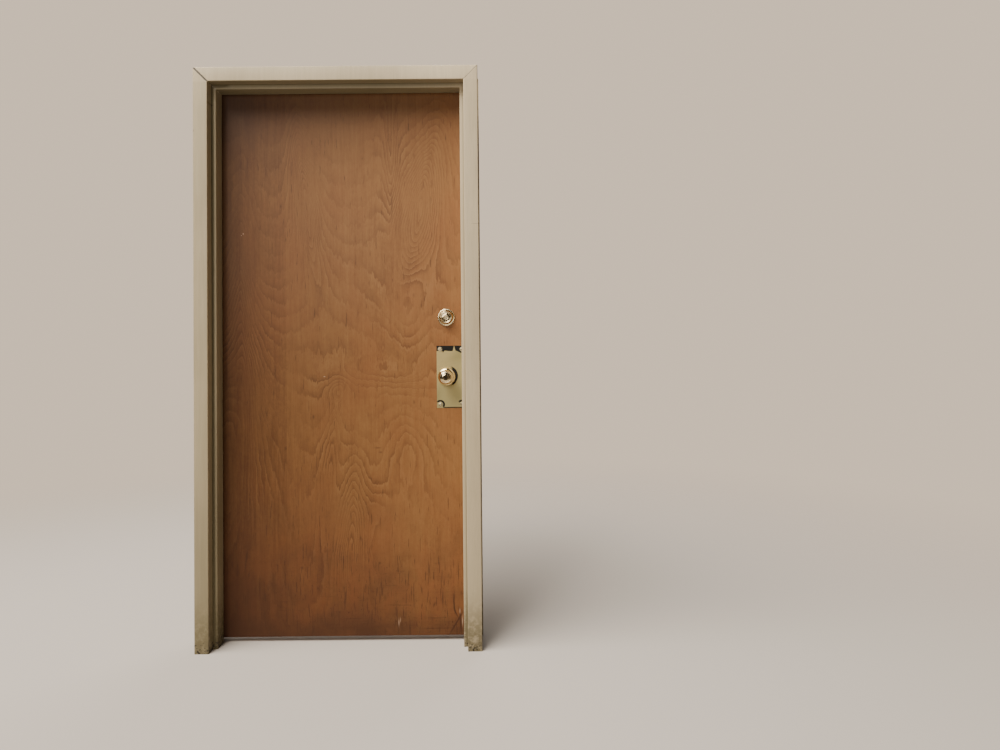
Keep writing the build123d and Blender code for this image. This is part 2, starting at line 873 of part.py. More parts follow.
# Face plates of the latch and the deadbolt
for name, height, hole_width, hole_height in (
    ("latch", knob_height, latch_width, latch_height),
    ("deadbolt", deadbolt_height, deadbolt_width, deadbolt_diameter),
):
    with BuildPart() as face_plate:
        with BuildSketch(edge_plane(height).offset(-face_plate_sheet)):
            RectangleRounded(face_plate_width, face_plate_height, face_plate_corner)
            Rectangle(hole_width + 2 * bolt_clearance, hole_height + 2 * bolt_clearance, mode=Mode.SUBTRACT)
        extrude(amount=face_plate_sheet)
        for location in face_screw_locations:
            with Locations(location):
                add(face_screw_hole, mode=Mode.SUBTRACT)
    save(face_plate, f"{name}_face_plate")

with BuildPart() as face_plate_screws:
    with Locations(*face_screw_locations):
        add(flat_screw(*face_size))
save(face_plate_screws, "face_plate_screws")

# Cases that carry the latch and the deadbolt
case_radius = edge_bore / 2 - case_clearance
for name, height, start in (
    ("latch", knob_height, lock_x + chassis_diameter / 2 + case_clearance),
    ("deadbolt", deadbolt_height, lock_x - deadbolt_case_overrun),
):
    with BuildPart() as bolt_case:
        with BuildSketch(Plane.YZ.offset(start)):
            with Locations((leaf_mid_y, height)):
                Circle(case_radius)
                Circle(case_radius - case_wall, mode=Mode.SUBTRACT)
        extrude(amount=2 * backset)
        split(bisect_by=edge_plane(height).offset(-face_plate_sheet), keep=Keep.BOTTOM)
        if name == "deadbolt":
            with Locations((lock_x, leaf_mid_y, height)):
                cam_hole_radius = cam_diameter / 2 + cam_clearance
                Cylinder(cam_hole_radius, edge_bore, rotation=facing_plus_y, mode=Mode.SUBTRACT)
    save(bolt_case, f"{name}_case")

# Spring latch, bevelled on the side that meets the strike as the door closes
latch_tip = lock_edge_mid + latch_throw
latch_back = latch_tip - latch_head_length
latch_tail_end = lock_x + spindle_diameter / 2 + latch_throw + case_wall
with BuildPart() as latch_bolt:
    with BuildSketch(Plane.XY.offset(knob_height - latch_height / 2)):
        with BuildLine():
            latch_low = leaf_mid_y - latch_width / 2
            latch_high = leaf_mid_y + latch_width / 2
            bevel_start = (lock_edge_mid + case_clearance, latch_low)
            bevel_end = (latch_tip, latch_high - latch_nose)
            Polyline(bevel_end, (latch_tip, latch_high), (latch_back, latch_high))
            Polyline((latch_back, latch_high), (latch_back, latch_low), bevel_start)
            RadiusArc(bevel_start, bevel_end, -latch_bevel_radius)
        make_face()
    extrude(amount=latch_height)
    fillet(latch_bolt.faces().sort_by(Axis.Y)[-1].edges().filter_by(Axis.X), latch_corner)
    with Locations((latch_back, leaf_mid_y, knob_height)):
        Cylinder(
            latch_tail_diameter / 2,
            latch_back - latch_tail_end,
            rotation=facing_minus_x,
            align=(Align.CENTER, Align.CENTER, Align.MIN),
        )
save(latch_bolt, "latch_bolt")

# Deadbolt, flat-sided bar drawn back into its case
with BuildPart() as deadbolt:
    with BuildSketch(Plane.YZ.offset(lock_edge_mid - deadbolt_nose_gap - deadbolt_length)):
        with Locations((leaf_mid_y, deadbolt_height)):
            Circle(deadbolt_diameter / 2)
            Rectangle(deadbolt_width, deadbolt_diameter, mode=Mode.INTERSECT)
    extrude(amount=deadbolt_length)
    chamfer(deadbolt.faces().sort_by(Axis.X)[-1].edges(), latch_corner / 2)
save(deadbolt, "deadbolt_bolt")


def half_turned(face_y, height, towards, radius_low, radius_high, low, high, mode=Mode.ADD):
    # Cylinder or ring on the lock axis, its heights counted outwards from the face
    with BuildSketch(turning_plane(face_y, height, towards)) as section:
        with BuildLine():
            Polyline(
                (radius_low, low), (radius_high, low), (radius_high, high), (radius_low, high), close=True
            )
        make_face()
    revolve(section.sketch, axis=lock_axis(height), mode=mode)


def domed_rose(face_y, height, towards, diameter, rise, hole):
    # Pressed shell with a rounded shoulder and a hole in its crown
    radius = diameter / 2
    with BuildSketch(turning_plane(face_y, height, towards)) as section:
        with BuildLine():
            Spline((radius, 0), (hole, rise), tangents=((0, 1), (-1, 0)))
            Line((hole, rise), (hole, rise - rose_sheet))
            Spline((hole, rise - rose_sheet), (radius - rose_sheet, 0), tangents=((1, 0), (0, -1)))
            Line((radius - rose_sheet, 0), (radius, 0))
        make_face()
    revolve(section.sketch, axis=lock_axis(height))


def knob_body(face_y, towards):
    # Turned knob: straight neck, flared back, round belly and a slightly crowned face
    neck_end = (neck_diameter / 2, neck_end_height)
    back = (knob_back_diameter / 2, knob_back_height)
    belly = (knob_diameter / 2, knob_belly_height)
    face = (knob_face_diameter / 2, knob_projection - knob_face_crown)
    with BuildSketch(turning_plane(face_y, knob_height, towards)) as section:
        with BuildLine():
            Polyline((0, knob_projection), (0, neck_start), (neck_end[0], neck_start), neck_end)
            TangentArc(neck_end, back, tangent=(0, 1))
            ThreePointArc(back, belly, face)
            cap_arc(face, (0, knob_projection))
        make_face()
    revolve(section.sketch, axis=lock_axis(knob_height))
    half_turned(
        face_y,
        knob_height,
        towards,
        0,
        spindle_radius + spindle_clearance,
        0,
        neck_start + spindle_socket,
        Mode.SUBTRACT,
    )


def screw_pair(face_y, height, spread):
    # Places of two screws above and below the lock axis
    return Locations(*[(lock_x, face_y, height + side * spread / 2) for side in (-1, 1)])


def pan_screws(face_y, height, spread, length):
    # Two screws driven from the far side
    on_face = (Align.CENTER, Align.CENTER, Align.MIN)
    with screw_pair(face_y, height, spread):
        Cylinder(mounting_head / 2, mounting_head_height, rotation=facing_plus_y, align=on_face)
        Cylinder(mounting_shank / 2, length, rotation=facing_minus_y, align=on_face)


def screw_pair_holes(face_y, height, spread, depth):
    with screw_pair(face_y, height, spread):
        Cylinder(mounting_shank / 2 + screw_clearance, 2 * depth, rotation=facing_plus_y, mode=Mode.SUBTRACT)


# Lock chassis in the cross bore, flanged on the near side
with BuildPart() as lock_chassis:
    chassis_length = knob_far_face - knob_near_face
    half_turned(knob_near_face, knob_height, -1, 0, chassis_diameter / 2, -chassis_length, 0)
    half_turned(knob_near_face, knob_height, -1, 0, chassis_flange_diameter / 2, 0, chassis_flange)
    half_turned(
        knob_near_face,
        knob_height,
        -1,
        0,
        spindle_radius + spindle_clearance,
        -chassis_length,
        chassis_flange,
        Mode.SUBTRACT,
    )
    with Locations((lock_x, leaf_mid_y, knob_height)):
        Cylinder(
            latch_tail_diameter / 2 + case_clearance,
            chassis_diameter,
            rotation=facing_plus_x,
            align=(Align.CENTER, Align.CENTER, Align.MIN),
            mode=Mode.SUBTRACT,
        )
    screw_pair_holes(
        knob_far_face,
        knob_height,
        chassis_screw_spread,
        chassis_screw_length - chassis_flange + screw_clearance,
    )
save(lock_chassis, "lock_chassis")

with BuildPart() as knob_mounting_plate:
    half_turned(
        knob_far_face,
        knob_height,
        1,
        spindle_radius + neck_clearance,
        chassis_flange_diameter / 2,
        0,
        chassis_flange,
    )
    screw_pair_holes(knob_far_face, knob_height, chassis_screw_spread, leaf_thickness)
save(knob_mounting_plate, "knob_mounting_plate")

with BuildPart() as lock_mounting_screws:
    pan_screws(knob_far_face + chassis_flange, knob_height, chassis_screw_spread, chassis_screw_length)
save(lock_mounting_screws, "lock_mounting_screws")

# Roses round the knob necks
neck_hole_radius = neck_diameter / 2 + neck_clearance
with BuildPart() as outer_rose:
    domed_rose(knob_near_face, knob_height, -1, rose_diameter, rose_height, neck_hole_radius)
save(outer_rose, "outer_rose")

with BuildPart() as inner_rose:
    domed_rose(knob_far_face, knob_height, 1, rose_diameter, rose_height, neck_hole_radius)
save(inner_rose, "inner_rose")

# Knobs on their common spindle
with BuildPart() as knob_spindle:
    with BuildSketch(Plane.XZ.offset(-(knob_near_face - neck_start - spindle_socket))):
        with Locations((lock_x, knob_height)):
            Circle(spindle_radius)
            Circle(spindle_bore / 2, mode=Mode.SUBTRACT)
    extrude(amount=knob_far_face - knob_near_face + 2 * (neck_start + spindle_socket), dir=(0, 1, 0))
save(knob_spindle, "knob_spindle")

cylinder_radius = cylinder_diameter / 2
cylinder_front = knob_projection + cylinder_proud
cylinder_back = cylinder_front - cylinder_length
plug_back = cylinder_front - plug_length
with BuildPart() as outer_knob:
    knob_body(knob_near_face, -1)
    half_turned(
        knob_near_face,
        knob_height,
        -1,
        0,
        cylinder_radius + spindle_clearance,
        cylinder_back,
        cylinder_front,
        Mode.SUBTRACT,
    )
save(outer_knob, "outer_knob")

with BuildPart() as knob_cylinder:
    half_turned(knob_near_face, knob_height, -1, 0, cylinder_radius, cylinder_back, cylinder_front)
    half_turned(
        knob_near_face,
        knob_height,
        -1,
        0,
        plug_diameter / 2 + plug_clearance,
        plug_back - plug_clearance,
        cylinder_front,
        Mode.SUBTRACT,
    )
    fillet(knob_cylinder.faces().sort_by(Axis.Y)[0].outer_wire().edges(), cylinder_proud / 2)
save(knob_cylinder, "knob_cylinder")

with BuildPart() as knob_key_plug:
    half_turned(knob_near_face, knob_height, -1, 0, plug_diameter / 2, plug_back, cylinder_front)
    with Locations((lock_x, knob_near_face - cylinder_front, knob_height)):
        Box(keyway_width, plug_length, keyway_height, mode=Mode.SUBTRACT)
save(knob_key_plug, "knob_key_plug")

button_radius = button_diameter / 2
with BuildPart() as inner_knob:
    knob_body(knob_far_face, 1)
    half_turned(
        knob_far_face,
        knob_height,
        1,
        0,
        button_radius + neck_clearance,
        knob_projection - knob_face_crown - button_stem_length,
        cylinder_front,
        Mode.SUBTRACT,
    )
save(inner_knob, "inner_knob")

with BuildPart() as turn_button:
    half_turned(
        knob_far_face,
        knob_height,
        1,
        0,
        button_radius,
        knob_projection - knob_face_crown - button_stem_length,
        knob_projection + cylinder_proud,
    )
    with Locations((lock_x, knob_far_face + knob_projection, knob_height)):
        Box(
            button_wing,
            button_proud,
            button_diameter * 0.9,
            align=(Align.CENTER, Align.MIN, Align.CENTER),
        )
    fillet(turn_button.faces().sort_by(Axis.Y)[-1].edges(), button_wing / 4)
save(turn_button, "turn_button")

# Deadbolt collar: flange, step and cone round the key cylinder
with BuildPart() as deadbolt_collar:
    flange_radius = collar_diameter / 2
    shoulder_radius = collar_shoulder_diameter / 2
    rim_radius = collar_rim_diameter / 2
    mouth_radius = collar_mouth_diameter / 2
    with BuildSketch(turning_plane(leaf_near_y, deadbolt_height, -1)):
        with BuildLine():
            Polyline(
                (mouth_radius, 0),
                (flange_radius, 0),
                (flange_radius, collar_flange - collar_edge),
            )
            RadiusArc(
                (flange_radius, collar_flange - collar_edge),
                (flange_radius - collar_edge, collar_flange),
                -collar_edge,
            )
            Polyline(
                (flange_radius - collar_edge, collar_flange),
                (shoulder_radius + collar_edge, collar_flange),
                (shoulder_radius, collar_flange + collar_edge),
                (rim_radius, collar_height - collar_edge),
            )
            RadiusArc(
                (rim_radius, collar_height - collar_edge),
                (rim_radius - collar_edge, collar_height),
                -collar_edge,
            )
            Polyline(
                (rim_radius - collar_edge, collar_height),
                (mouth_radius, collar_height),
                (mouth_radius, 0),
            )
        make_face()
    revolve(axis=lock_axis(deadbolt_height))
save(deadbolt_collar, "deadbolt_collar")

housing_front = collar_height - housing_recess
housing_back = housing_front - housing_length
with BuildPart() as deadbolt_cylinder:
    half_turned(leaf_near_y, deadbolt_height, -1, 0, housing_diameter / 2, housing_back, housing_front)
    half_turned(
        leaf_near_y,
        deadbolt_height,
        -1,
        0,
        deadbolt_plug_diameter / 2 + plug_clearance,
        housing_back,
        housing_front,
        Mode.SUBTRACT,
    )
    screw_pair_holes(
        leaf_near_y - housing_back, deadbolt_height, mounting_screw_spread, mounting_screw_bite
    )
save(deadbolt_cylinder, "deadbolt_cylinder")

with BuildPart() as deadbolt_key_plug:
    half_turned(
        leaf_near_y,
        deadbolt_height,
        -1,
        0,
        deadbolt_plug_diameter / 2,
        housing_back,
        housing_front + deadbolt_plug_proud,
    )
    with Locations((lock_x, leaf_near_y - housing_front - deadbolt_plug_proud, deadbolt_height)):
        Box(keyway_width, plug_length, keyway_height, mode=Mode.SUBTRACT)
save(deadbolt_key_plug, "deadbolt_key_plug")

# Inner side of the deadbolt
with BuildPart() as deadbolt_mounting_plate:
    half_turned(
        leaf_far_y,
        deadbolt_height,
        1,
        turn_stem_diameter / 2 + neck_clearance,
        mounting_plate_diameter / 2,
        -mounting_sheet / 2,
        mounting_sheet / 2,
    )
    half_turned(
        leaf_far_y,
        deadbolt_height,
        1,
        mounting_plate_diameter / 2 - mounting_sheet,
        mounting_ring_diameter / 2,
        0,
        mounting_sheet / 2,
    )
    screw_pair_holes(leaf_far_y, deadbolt_height, mounting_screw_spread, leaf_thickness)
save(deadbolt_mounting_plate, "deadbolt_mounting_plate")

with BuildPart() as deadbolt_mounting_screws:
    pan_screws(
        leaf_far_y + mounting_sheet / 2,
        deadbolt_height,
        mounting_screw_spread,
        leaf_thickness + mounting_sheet / 2 + housing_back + mounting_screw_bite - screw_clearance,
    )
save(deadbolt_mounting_screws, "deadbolt_mounting_screws")

with BuildPart() as deadbolt_rose:
    domed_rose(
        leaf_far_y,
        deadbolt_height,
        1,
        turn_rose_diameter,
        turn_rose_height,
        turn_stem_diameter / 2 + neck_clearance,
    )
save(deadbolt_rose, "deadbolt_rose")

with BuildPart() as thumb_turn:
    hub_low = turn_rose_height + neck_clearance
    hub_high = hub_low + turn_hub_height
    half_turned(leaf_far_y, deadbolt_height, 1, 0, turn_stem_diameter / 2, -mounting_sheet, hub_high)
    half_turned(leaf_far_y, deadbolt_height, 1, 0, turn_hub_diameter / 2, hub_low, hub_high)
    with BuildSketch(Plane.XZ.offset(-(leaf_far_y + hub_high))):
        with Locations((lock_x, deadbolt_height)):
            SlotOverall(turn_grip_length, turn_grip_width, rotation=90)
    extrude(amount=turn_grip_height, dir=(0, 1, 0))
    fillet(thumb_turn.faces().sort_by(Axis.Y)[-1].edges(), turn_grip_width / 4)
save(thumb_turn, "thumb_turn")

with BuildPart() as deadbolt_tailpiece:
    tail_near = leaf_near_y - housing_back + cam_clearance
    tail_far = leaf_far_y - mounting_sheet
    with Locations((lock_x, (tail_near + tail_far) / 2, deadbolt_height)):
        Box(tailpiece_sheet, tail_far - tail_near, tailpiece_width)
    with Locations((lock_x, leaf_mid_y, deadbolt_height)):
        Cylinder(cam_diameter / 2, cam_length, rotation=facing_plus_y)
save(deadbolt_tailpiece, "deadbolt_tailpiece")
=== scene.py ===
import json
from math import pi, radians

import bmesh
import bpy
import numpy as np
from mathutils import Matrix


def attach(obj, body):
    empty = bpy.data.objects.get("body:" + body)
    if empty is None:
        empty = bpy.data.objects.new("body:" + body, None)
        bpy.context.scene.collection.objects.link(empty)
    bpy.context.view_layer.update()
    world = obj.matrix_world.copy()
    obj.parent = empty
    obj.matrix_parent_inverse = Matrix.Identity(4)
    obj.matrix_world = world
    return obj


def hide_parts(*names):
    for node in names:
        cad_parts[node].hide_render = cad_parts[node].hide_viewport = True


# Flush wood door in a pressed-steel frame. Metres, X to the lock side, Y to the side the door opens to, Z up.
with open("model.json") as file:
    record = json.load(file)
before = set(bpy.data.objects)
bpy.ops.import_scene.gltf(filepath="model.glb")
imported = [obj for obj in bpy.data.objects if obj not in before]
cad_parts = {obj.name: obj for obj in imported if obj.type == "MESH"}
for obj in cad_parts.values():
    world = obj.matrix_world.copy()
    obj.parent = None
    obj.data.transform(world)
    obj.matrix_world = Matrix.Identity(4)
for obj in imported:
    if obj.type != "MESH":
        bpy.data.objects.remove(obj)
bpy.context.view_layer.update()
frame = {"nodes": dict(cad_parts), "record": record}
cadNodes = frame["nodes"]
print("frame loaded,", len(cadNodes), "nodes")

# Camera at the photograph's viewing angle: angles in degrees, lens and sensor in mm
cameraSetup = {
    "place": (0.573, -2.563, 1.079), "tiltUp": 0.85, "roll": 0.54, "turnLeft": -0.16, "lens": 25.24,
    "sensor": 36.0, "shiftY": -0.04,
}
studio = {
    "floorRadius": 9.0, "floorPoints": 96, "fadeStart": 1.3, "fadeEnd": 4.5, "floorColour": (0.5, 0.46, 0.42),
    "floorRoughness": 0.4, "backdrop": (0.93, 0.745, 0.57), "ambient": (0.52, 0.46, 0.4),
    "ambientStrength": 0.17, "mirrored": (0.055, 0.045, 0.036),
}
lights = [
    # name, place, target, size x, size y, power, colour
    ("keyPanel", (-3.2, -2.8, 7.0), (0.0, 0.0, 1.1), 6.5, 3.6, 1500.0, (1.0, 0.93, 0.83)),
    ("frontFill", (-0.9, -4.2, 2.1), (0.0, 0.0, 1.0), 2.2, 1.4, 46.0, (1.0, 0.93, 0.84)),
    ("rearPanel", (0.9, 2.6, 4.2), (0.0, 0.0, 1.0), 2.6, 1.2, 85.0, (1.0, 0.95, 0.89)),
]

scene = bpy.context.scene
cameraData = bpy.data.cameras.new("camera")
cameraData.lens = cameraSetup["lens"]
cameraData.sensor_width = cameraSetup["sensor"]
cameraData.shift_y = cameraSetup["shiftY"]
camera = bpy.data.objects.new("camera", cameraData)
camera.location = cameraSetup["place"]
camera.rotation_euler = [
    radians(angle) for angle in (90.0 + cameraSetup["tiltUp"], cameraSetup["roll"], cameraSetup["turnLeft"])
]
scene.collection.objects.link(camera)
scene.camera = camera

for name, place, target, sizeX, sizeY, power, colour in lights:
    lampData = bpy.data.lights.new(name, "AREA")
    lampData.shape = "RECTANGLE"
    lampData.size = sizeX
    lampData.size_y = sizeY
    lampData.energy = power
    lampData.color = colour
    lamp = bpy.data.objects.new(name, lampData)
    lamp.location = place
    aim = np.array(target) - np.array(place)
    yaw = np.arctan2(aim[1], aim[0]) - pi / 2
    tilt = np.arctan2(np.hypot(aim[0], aim[1]), -aim[2])
    lamp.rotation_euler = (tilt, 0.0, yaw)
    lamp.visible_camera = False
    scene.collection.objects.link(lamp)
print("camera and lights placed")


class Wire:
    # One output socket. Sums and products of wires add Math nodes to their sheet.
    def __init__(self, sheet, socket):
        self.sheet = sheet
        self.socket = socket

    def output(self, key):
        return Wire(self.sheet, self.socket.node.outputs[key])  # another output of the same node

    def maths(self, operation, *values):
        return self.sheet.node("ShaderNodeMath", {"operation": operation}, dict(enumerate(values)))

    def __add__(self, other):
        return self.maths("ADD", self, other)

    def __radd__(self, other):
        return self.maths("ADD", other, self)

    def __sub__(self, other):
        return self.maths("SUBTRACT", self, other)

    def __rsub__(self, other):
        return self.maths("SUBTRACT", other, self)

    def __mul__(self, other):
        return self.maths("MULTIPLY", self, other)

    def __rmul__(self, other):
        return self.maths("MULTIPLY", other, self)

    def __truediv__(self, other):
        return self.maths("DIVIDE", self, other)

    def __rtruediv__(self, other):
        return self.maths("DIVIDE", other, self)

    def __pow__(self, other):
        return self.maths("POWER", self, other)

    def __rpow__(self, other):
        return self.maths("POWER", other, self)

    def __neg__(self):
        return self.maths("MULTIPLY", self, -1.0)

    def __abs__(self):
        return self.maths("ABSOLUTE", self)

    def exp(self):
        return self.maths("EXPONENT", self)

    def fract(self):
        return self.maths("FRACT", self)

    def least(self, other):
        return self.maths("MINIMUM", self, other)

    def most(self, other):
        return self.maths("MAXIMUM", self, other)

    def over(self, low, high):
        # 0 below low, 1 above high, a smooth step between. High may be the smaller one.
        return self.sheet.node(
            "ShaderNodeMapRange",
            {"interpolation_type": "SMOOTHSTEP"},
            {"Value": self, "From Min": low, "From Max": high},
        )

    def hump(self, centre, width):
        # exp(-((value - centre) / width) squared)
        offset = (self - centre) / width
        return (-(offset * offset)).exp()


class NodeSheet:
    # A node tree, cleared, and the one method that adds nodes to it
    def __init__(self, tree):
        self.tree = tree
        tree.nodes.clear()

    def node(self, kind, settings, inputs, output=0):
        # Settings come first, then the values or links of the sockets. A colour is given without its alpha.
        made = self.tree.nodes.new(kind)
        for key, value in settings.items():
            if key == "stops":
                while len(made.color_ramp.elements) < len(value):
                    made.color_ramp.elements.new(0.5)
                for element, (position, colour) in zip(made.color_ramp.elements, value):
                    element.position = position
                    element.color = (*colour, 1.0)
            else:
                setattr(made, key, value)
        for key, value in inputs.items():
            socket = made.inputs[key]
            if isinstance(value, Wire):
                self.tree.links.new(value.socket, socket)
            else:
                socket.default_value = (*value, 1.0) if socket.type == "RGBA" else value
        return Wire(self, made.outputs[output]) if made.outputs else None


class Finish(NodeSheet):
    # One material, whose patterns lie on Object coordinates
    def __init__(self, name):
        self.material = bpy.data.materials.new(name)
        self.material.use_nodes = True
        super().__init__(self.material.node_tree)
        self.place = self.node("ShaderNodeTexCoord", {}, {}, "Object")
        self.x, self.y, self.z = self.parts(self.place)

    def parts(self, vector):
        split = self.node("ShaderNodeSeparateXYZ", {}, {0: vector})
        return [split.output(index) for index in range(3)]

    def facing(self):
        return self.parts(self.node("ShaderNodeNewGeometry", {}, {}, "Normal"))

    def scaled(self, scale, shift=(0.0, 0.0, 0.0)):
        # Place times a scale for each axis, plus a shift
        return self.node("ShaderNodeMapping", {}, {"Vector": self.place, "Scale": scale, "Location": shift})

    def noise(self, scaleX, scaleY, scaleZ, octaves, roughness, *shift):
        inputs = {"Vector": self.scaled((scaleX, scaleY, scaleZ), *shift), "Scale": 1.0}
        return self.node("ShaderNodeTexNoise", {}, {**inputs, "Detail": octaves, "Roughness": roughness})

    def noises(self, rows):
        return {name: self.noise(*row) for name, row in rows.items()}

    def slopes(self, rows):
        # Sum of strength * smooth step over rows of axis, the step's start and end, and strength
        axes = {"x": self.x, "y": self.y, "z": self.z}
        return sum(axes[axis].over(start, end) * strength for axis, start, end, strength in rows)

    def cells(self, where, output):
        return self.node("ShaderNodeTexVoronoi", {}, {"Vector": where, "Scale": 1.0}, output)

    def blend(self, amount, first, second):
        return self.node("ShaderNodeMix", {"data_type": "RGBA"}, {0: amount, 6: first, 7: second}, 2)

    def bump(self, height, distance, strength):
        return self.node("ShaderNodeBump", {}, {"Height": height, "Distance": distance, "Strength": strength})

    def relief(self, layers, setup):
        height = sum(layers[name] * depth for name, depth in setup["relief"].items())
        return self.bump(height, *setup["bump"])

    def surface(self, sockets):
        shader = self.node("ShaderNodeBsdfPrincipled", {}, sockets)
        self.node("ShaderNodeOutputMaterial", {}, {"Surface": shader})
        return self.material


def spots(x, z, rows):
    # Sum of strength * x hump * z hump over rows of x, z, half width, half height and strength
    return sum(
        x.hump(spotX, halfWidth) * z.hump(spotZ, halfHeight) * strength
        for spotX, spotZ, halfWidth, halfHeight, strength in rows
    )


def distance(x, z):
    return (x * x + z * z) ** 0.5  # root of the sum of the squares


# Floor that fades into the backdrop with the distance from the door
floorFinish = Finish("studioFloor")
paleFloor = floorFinish.node(
    "ShaderNodeBsdfDiffuse", {}, {"Color": studio["floorColour"], "Roughness": studio["floorRoughness"]}
)
openAir = floorFinish.node("ShaderNodeBsdfTransparent", {}, {})
fade = distance(floorFinish.x, floorFinish.y).over(studio["fadeStart"], studio["fadeEnd"])
faded = floorFinish.node("ShaderNodeMixShader", {}, {0: fade, 1: paleFloor, 2: openAir})
floorFinish.node("ShaderNodeOutputMaterial", {}, {"Surface": faded})

count = studio["floorPoints"]
turn = np.linspace(0.0, 2.0 * pi, count, endpoint=False)
rim = np.stack([np.cos(turn), np.sin(turn), np.zeros(count)], axis=1) * studio["floorRadius"]
floorMesh = bpy.data.meshes.new("floor")
floorMesh.from_pydata(rim.tolist(), [], [list(range(count))])
floorMesh.materials.append(floorFinish.material)
floor = bpy.data.objects.new("floor", floorMesh)
scene.collection.objects.link(floor)

# Room: dim light for the surfaces, darker in their reflections, and the pale backdrop behind everything
world = bpy.data.worlds.new("room")
scene.world = world
world.use_nodes = True
room = NodeSheet(world.node_tree)


def glow(colour, strength=1.0):
    return room.node("ShaderNodeBackground", {}, {"Color": colour, "Strength": strength})


rays = room.node("ShaderNodeLightPath", {}, {}, "Is Glossy Ray")
ambient = glow(studio["ambient"], studio["ambientStrength"])
unseen = room.node("ShaderNodeMixShader", {}, {0: rays, 1: ambient, 2: glow(studio["mirrored"])})
cameraRays = rays.output("Is Camera Ray")
whole = room.node("ShaderNodeMixShader", {}, {0: cameraRays, 1: unseen, 2: glow(studio["backdrop"])})
room.node("ShaderNodeOutputWorld", {}, {"Surface": whole})
print("studio ready")

# Sizes that the finishes share with the pieces
locks = {"x": 0.382985, "knobZ": 0.9652, "boltZ": 1.1842}
frameSizes = {
    "halfOpening": 0.4572, "opening": 2.032, "face": 0.0508, "halfDepth": 0.073025, "stopNear": -0.033325,
    "stopFar": 0.023825, "stop": 0.0159, "backbend": 0.0127, "sheet": 0.0015, "outerBend": 0.0027,
    "innerBend": 0.0012, "hingeGap": 0.0002, "strikeGap": 0.0001, "bendReach": 0.0037,
}

# Paint of the frame
paintSetup = {
    "light": (0.62, 0.515, 0.345), "dull": (0.275, 0.226, 0.134), "shade": (0.27, 0.235, 0.14),
    "grimeAndShade": (0.112, 0.09, 0.042), "crack": (0.022, 0.017, 0.011), "bare": (0.03, 0.023, 0.014),
    "gloss": 0.38,
    # scale along x, y and z, octaves and roughness of each noise
    "noises": {
        "cloud": (3.0, 6.0, 1.1, 4.0, 0.6),
        "streak": (90.0, 90.0, 4.0, 3.0, 0.6),
        "speckle": (60.0, 60.0, 60.0, 4.0, 0.65),
        "drag": (210.0, 210.0, 18.0, 3.0, 0.65),
        "blotch": (110.0, 110.0, 110.0, 4.0, 0.65),
        "brush": (420.0, 420.0, 55.0, 3.0, 0.6),
        "orangePeel": (34.0, 34.0, 34.0, 2.0, 0.5),
        "dents": (9.0, 9.0, 5.0, 2.0, 0.5),
    },
    "cloudStrength": 0.32,
    # painted light: axis, start, end and strength of each slope of the tone towards the light colour
    "paintedLightSlopes": [("x", 0.1, 0.5, 0.48), ("z", 1.0, 2.0, 0.08), ("z", 0.2, 1.2, 0.1), ("z", 2.025, 2.035, 0.14)],
    "dragStrength": 0.55, "sideFold": (0.446, 0.456), "headFold": (2.016, 2.03),
    "nearFold": (-0.0333, 0.0035), "farFold": (0.0238, 0.003), "footHeight": 0.24,
    # strength of each darkening: painted shade in the folds, on deep and downward faces and towards the
    # floor, and grime at the feet
    "dirtAndShade": {"foldShade": 0.5, "deepShade": 0.13, "underShade": 0.55, "low": 0.66, "floorShade": 0.42},
    "mostDirtAndShade": 0.92, "chipHeight": 0.08, "chipLevel": (0.75, 0.78), "wander": 0.004,
    "openMitre": (0.0054, 0.003), "tightMitre": (0.0024, 0.0006),
    # x, z, half width, half height, strength of each spot where the coat is knocked
    "knocks": [
        (-0.506, 1.854, 0.0022, 0.0032, 0.55), (-0.352, 2.0125, 0.003, 0.0016, 0.85),
        (0.342, 2.0105, 0.0036, 0.0016, 0.85), (-0.455, 1.958, 0.0025, 0.0034, 0.8),
        (0.4975, 1.5137, 0.013, 0.0008, 0.6), (0.5, 1.085, 0.006, 0.0006, 0.35),
    ],
    "relief": {"brush": 0.35, "orangePeel": 0.9, "dents": 2.2, "chips": -0.5, "cracks": -2.0},
    "bump": (0.00035, 0.45),
}


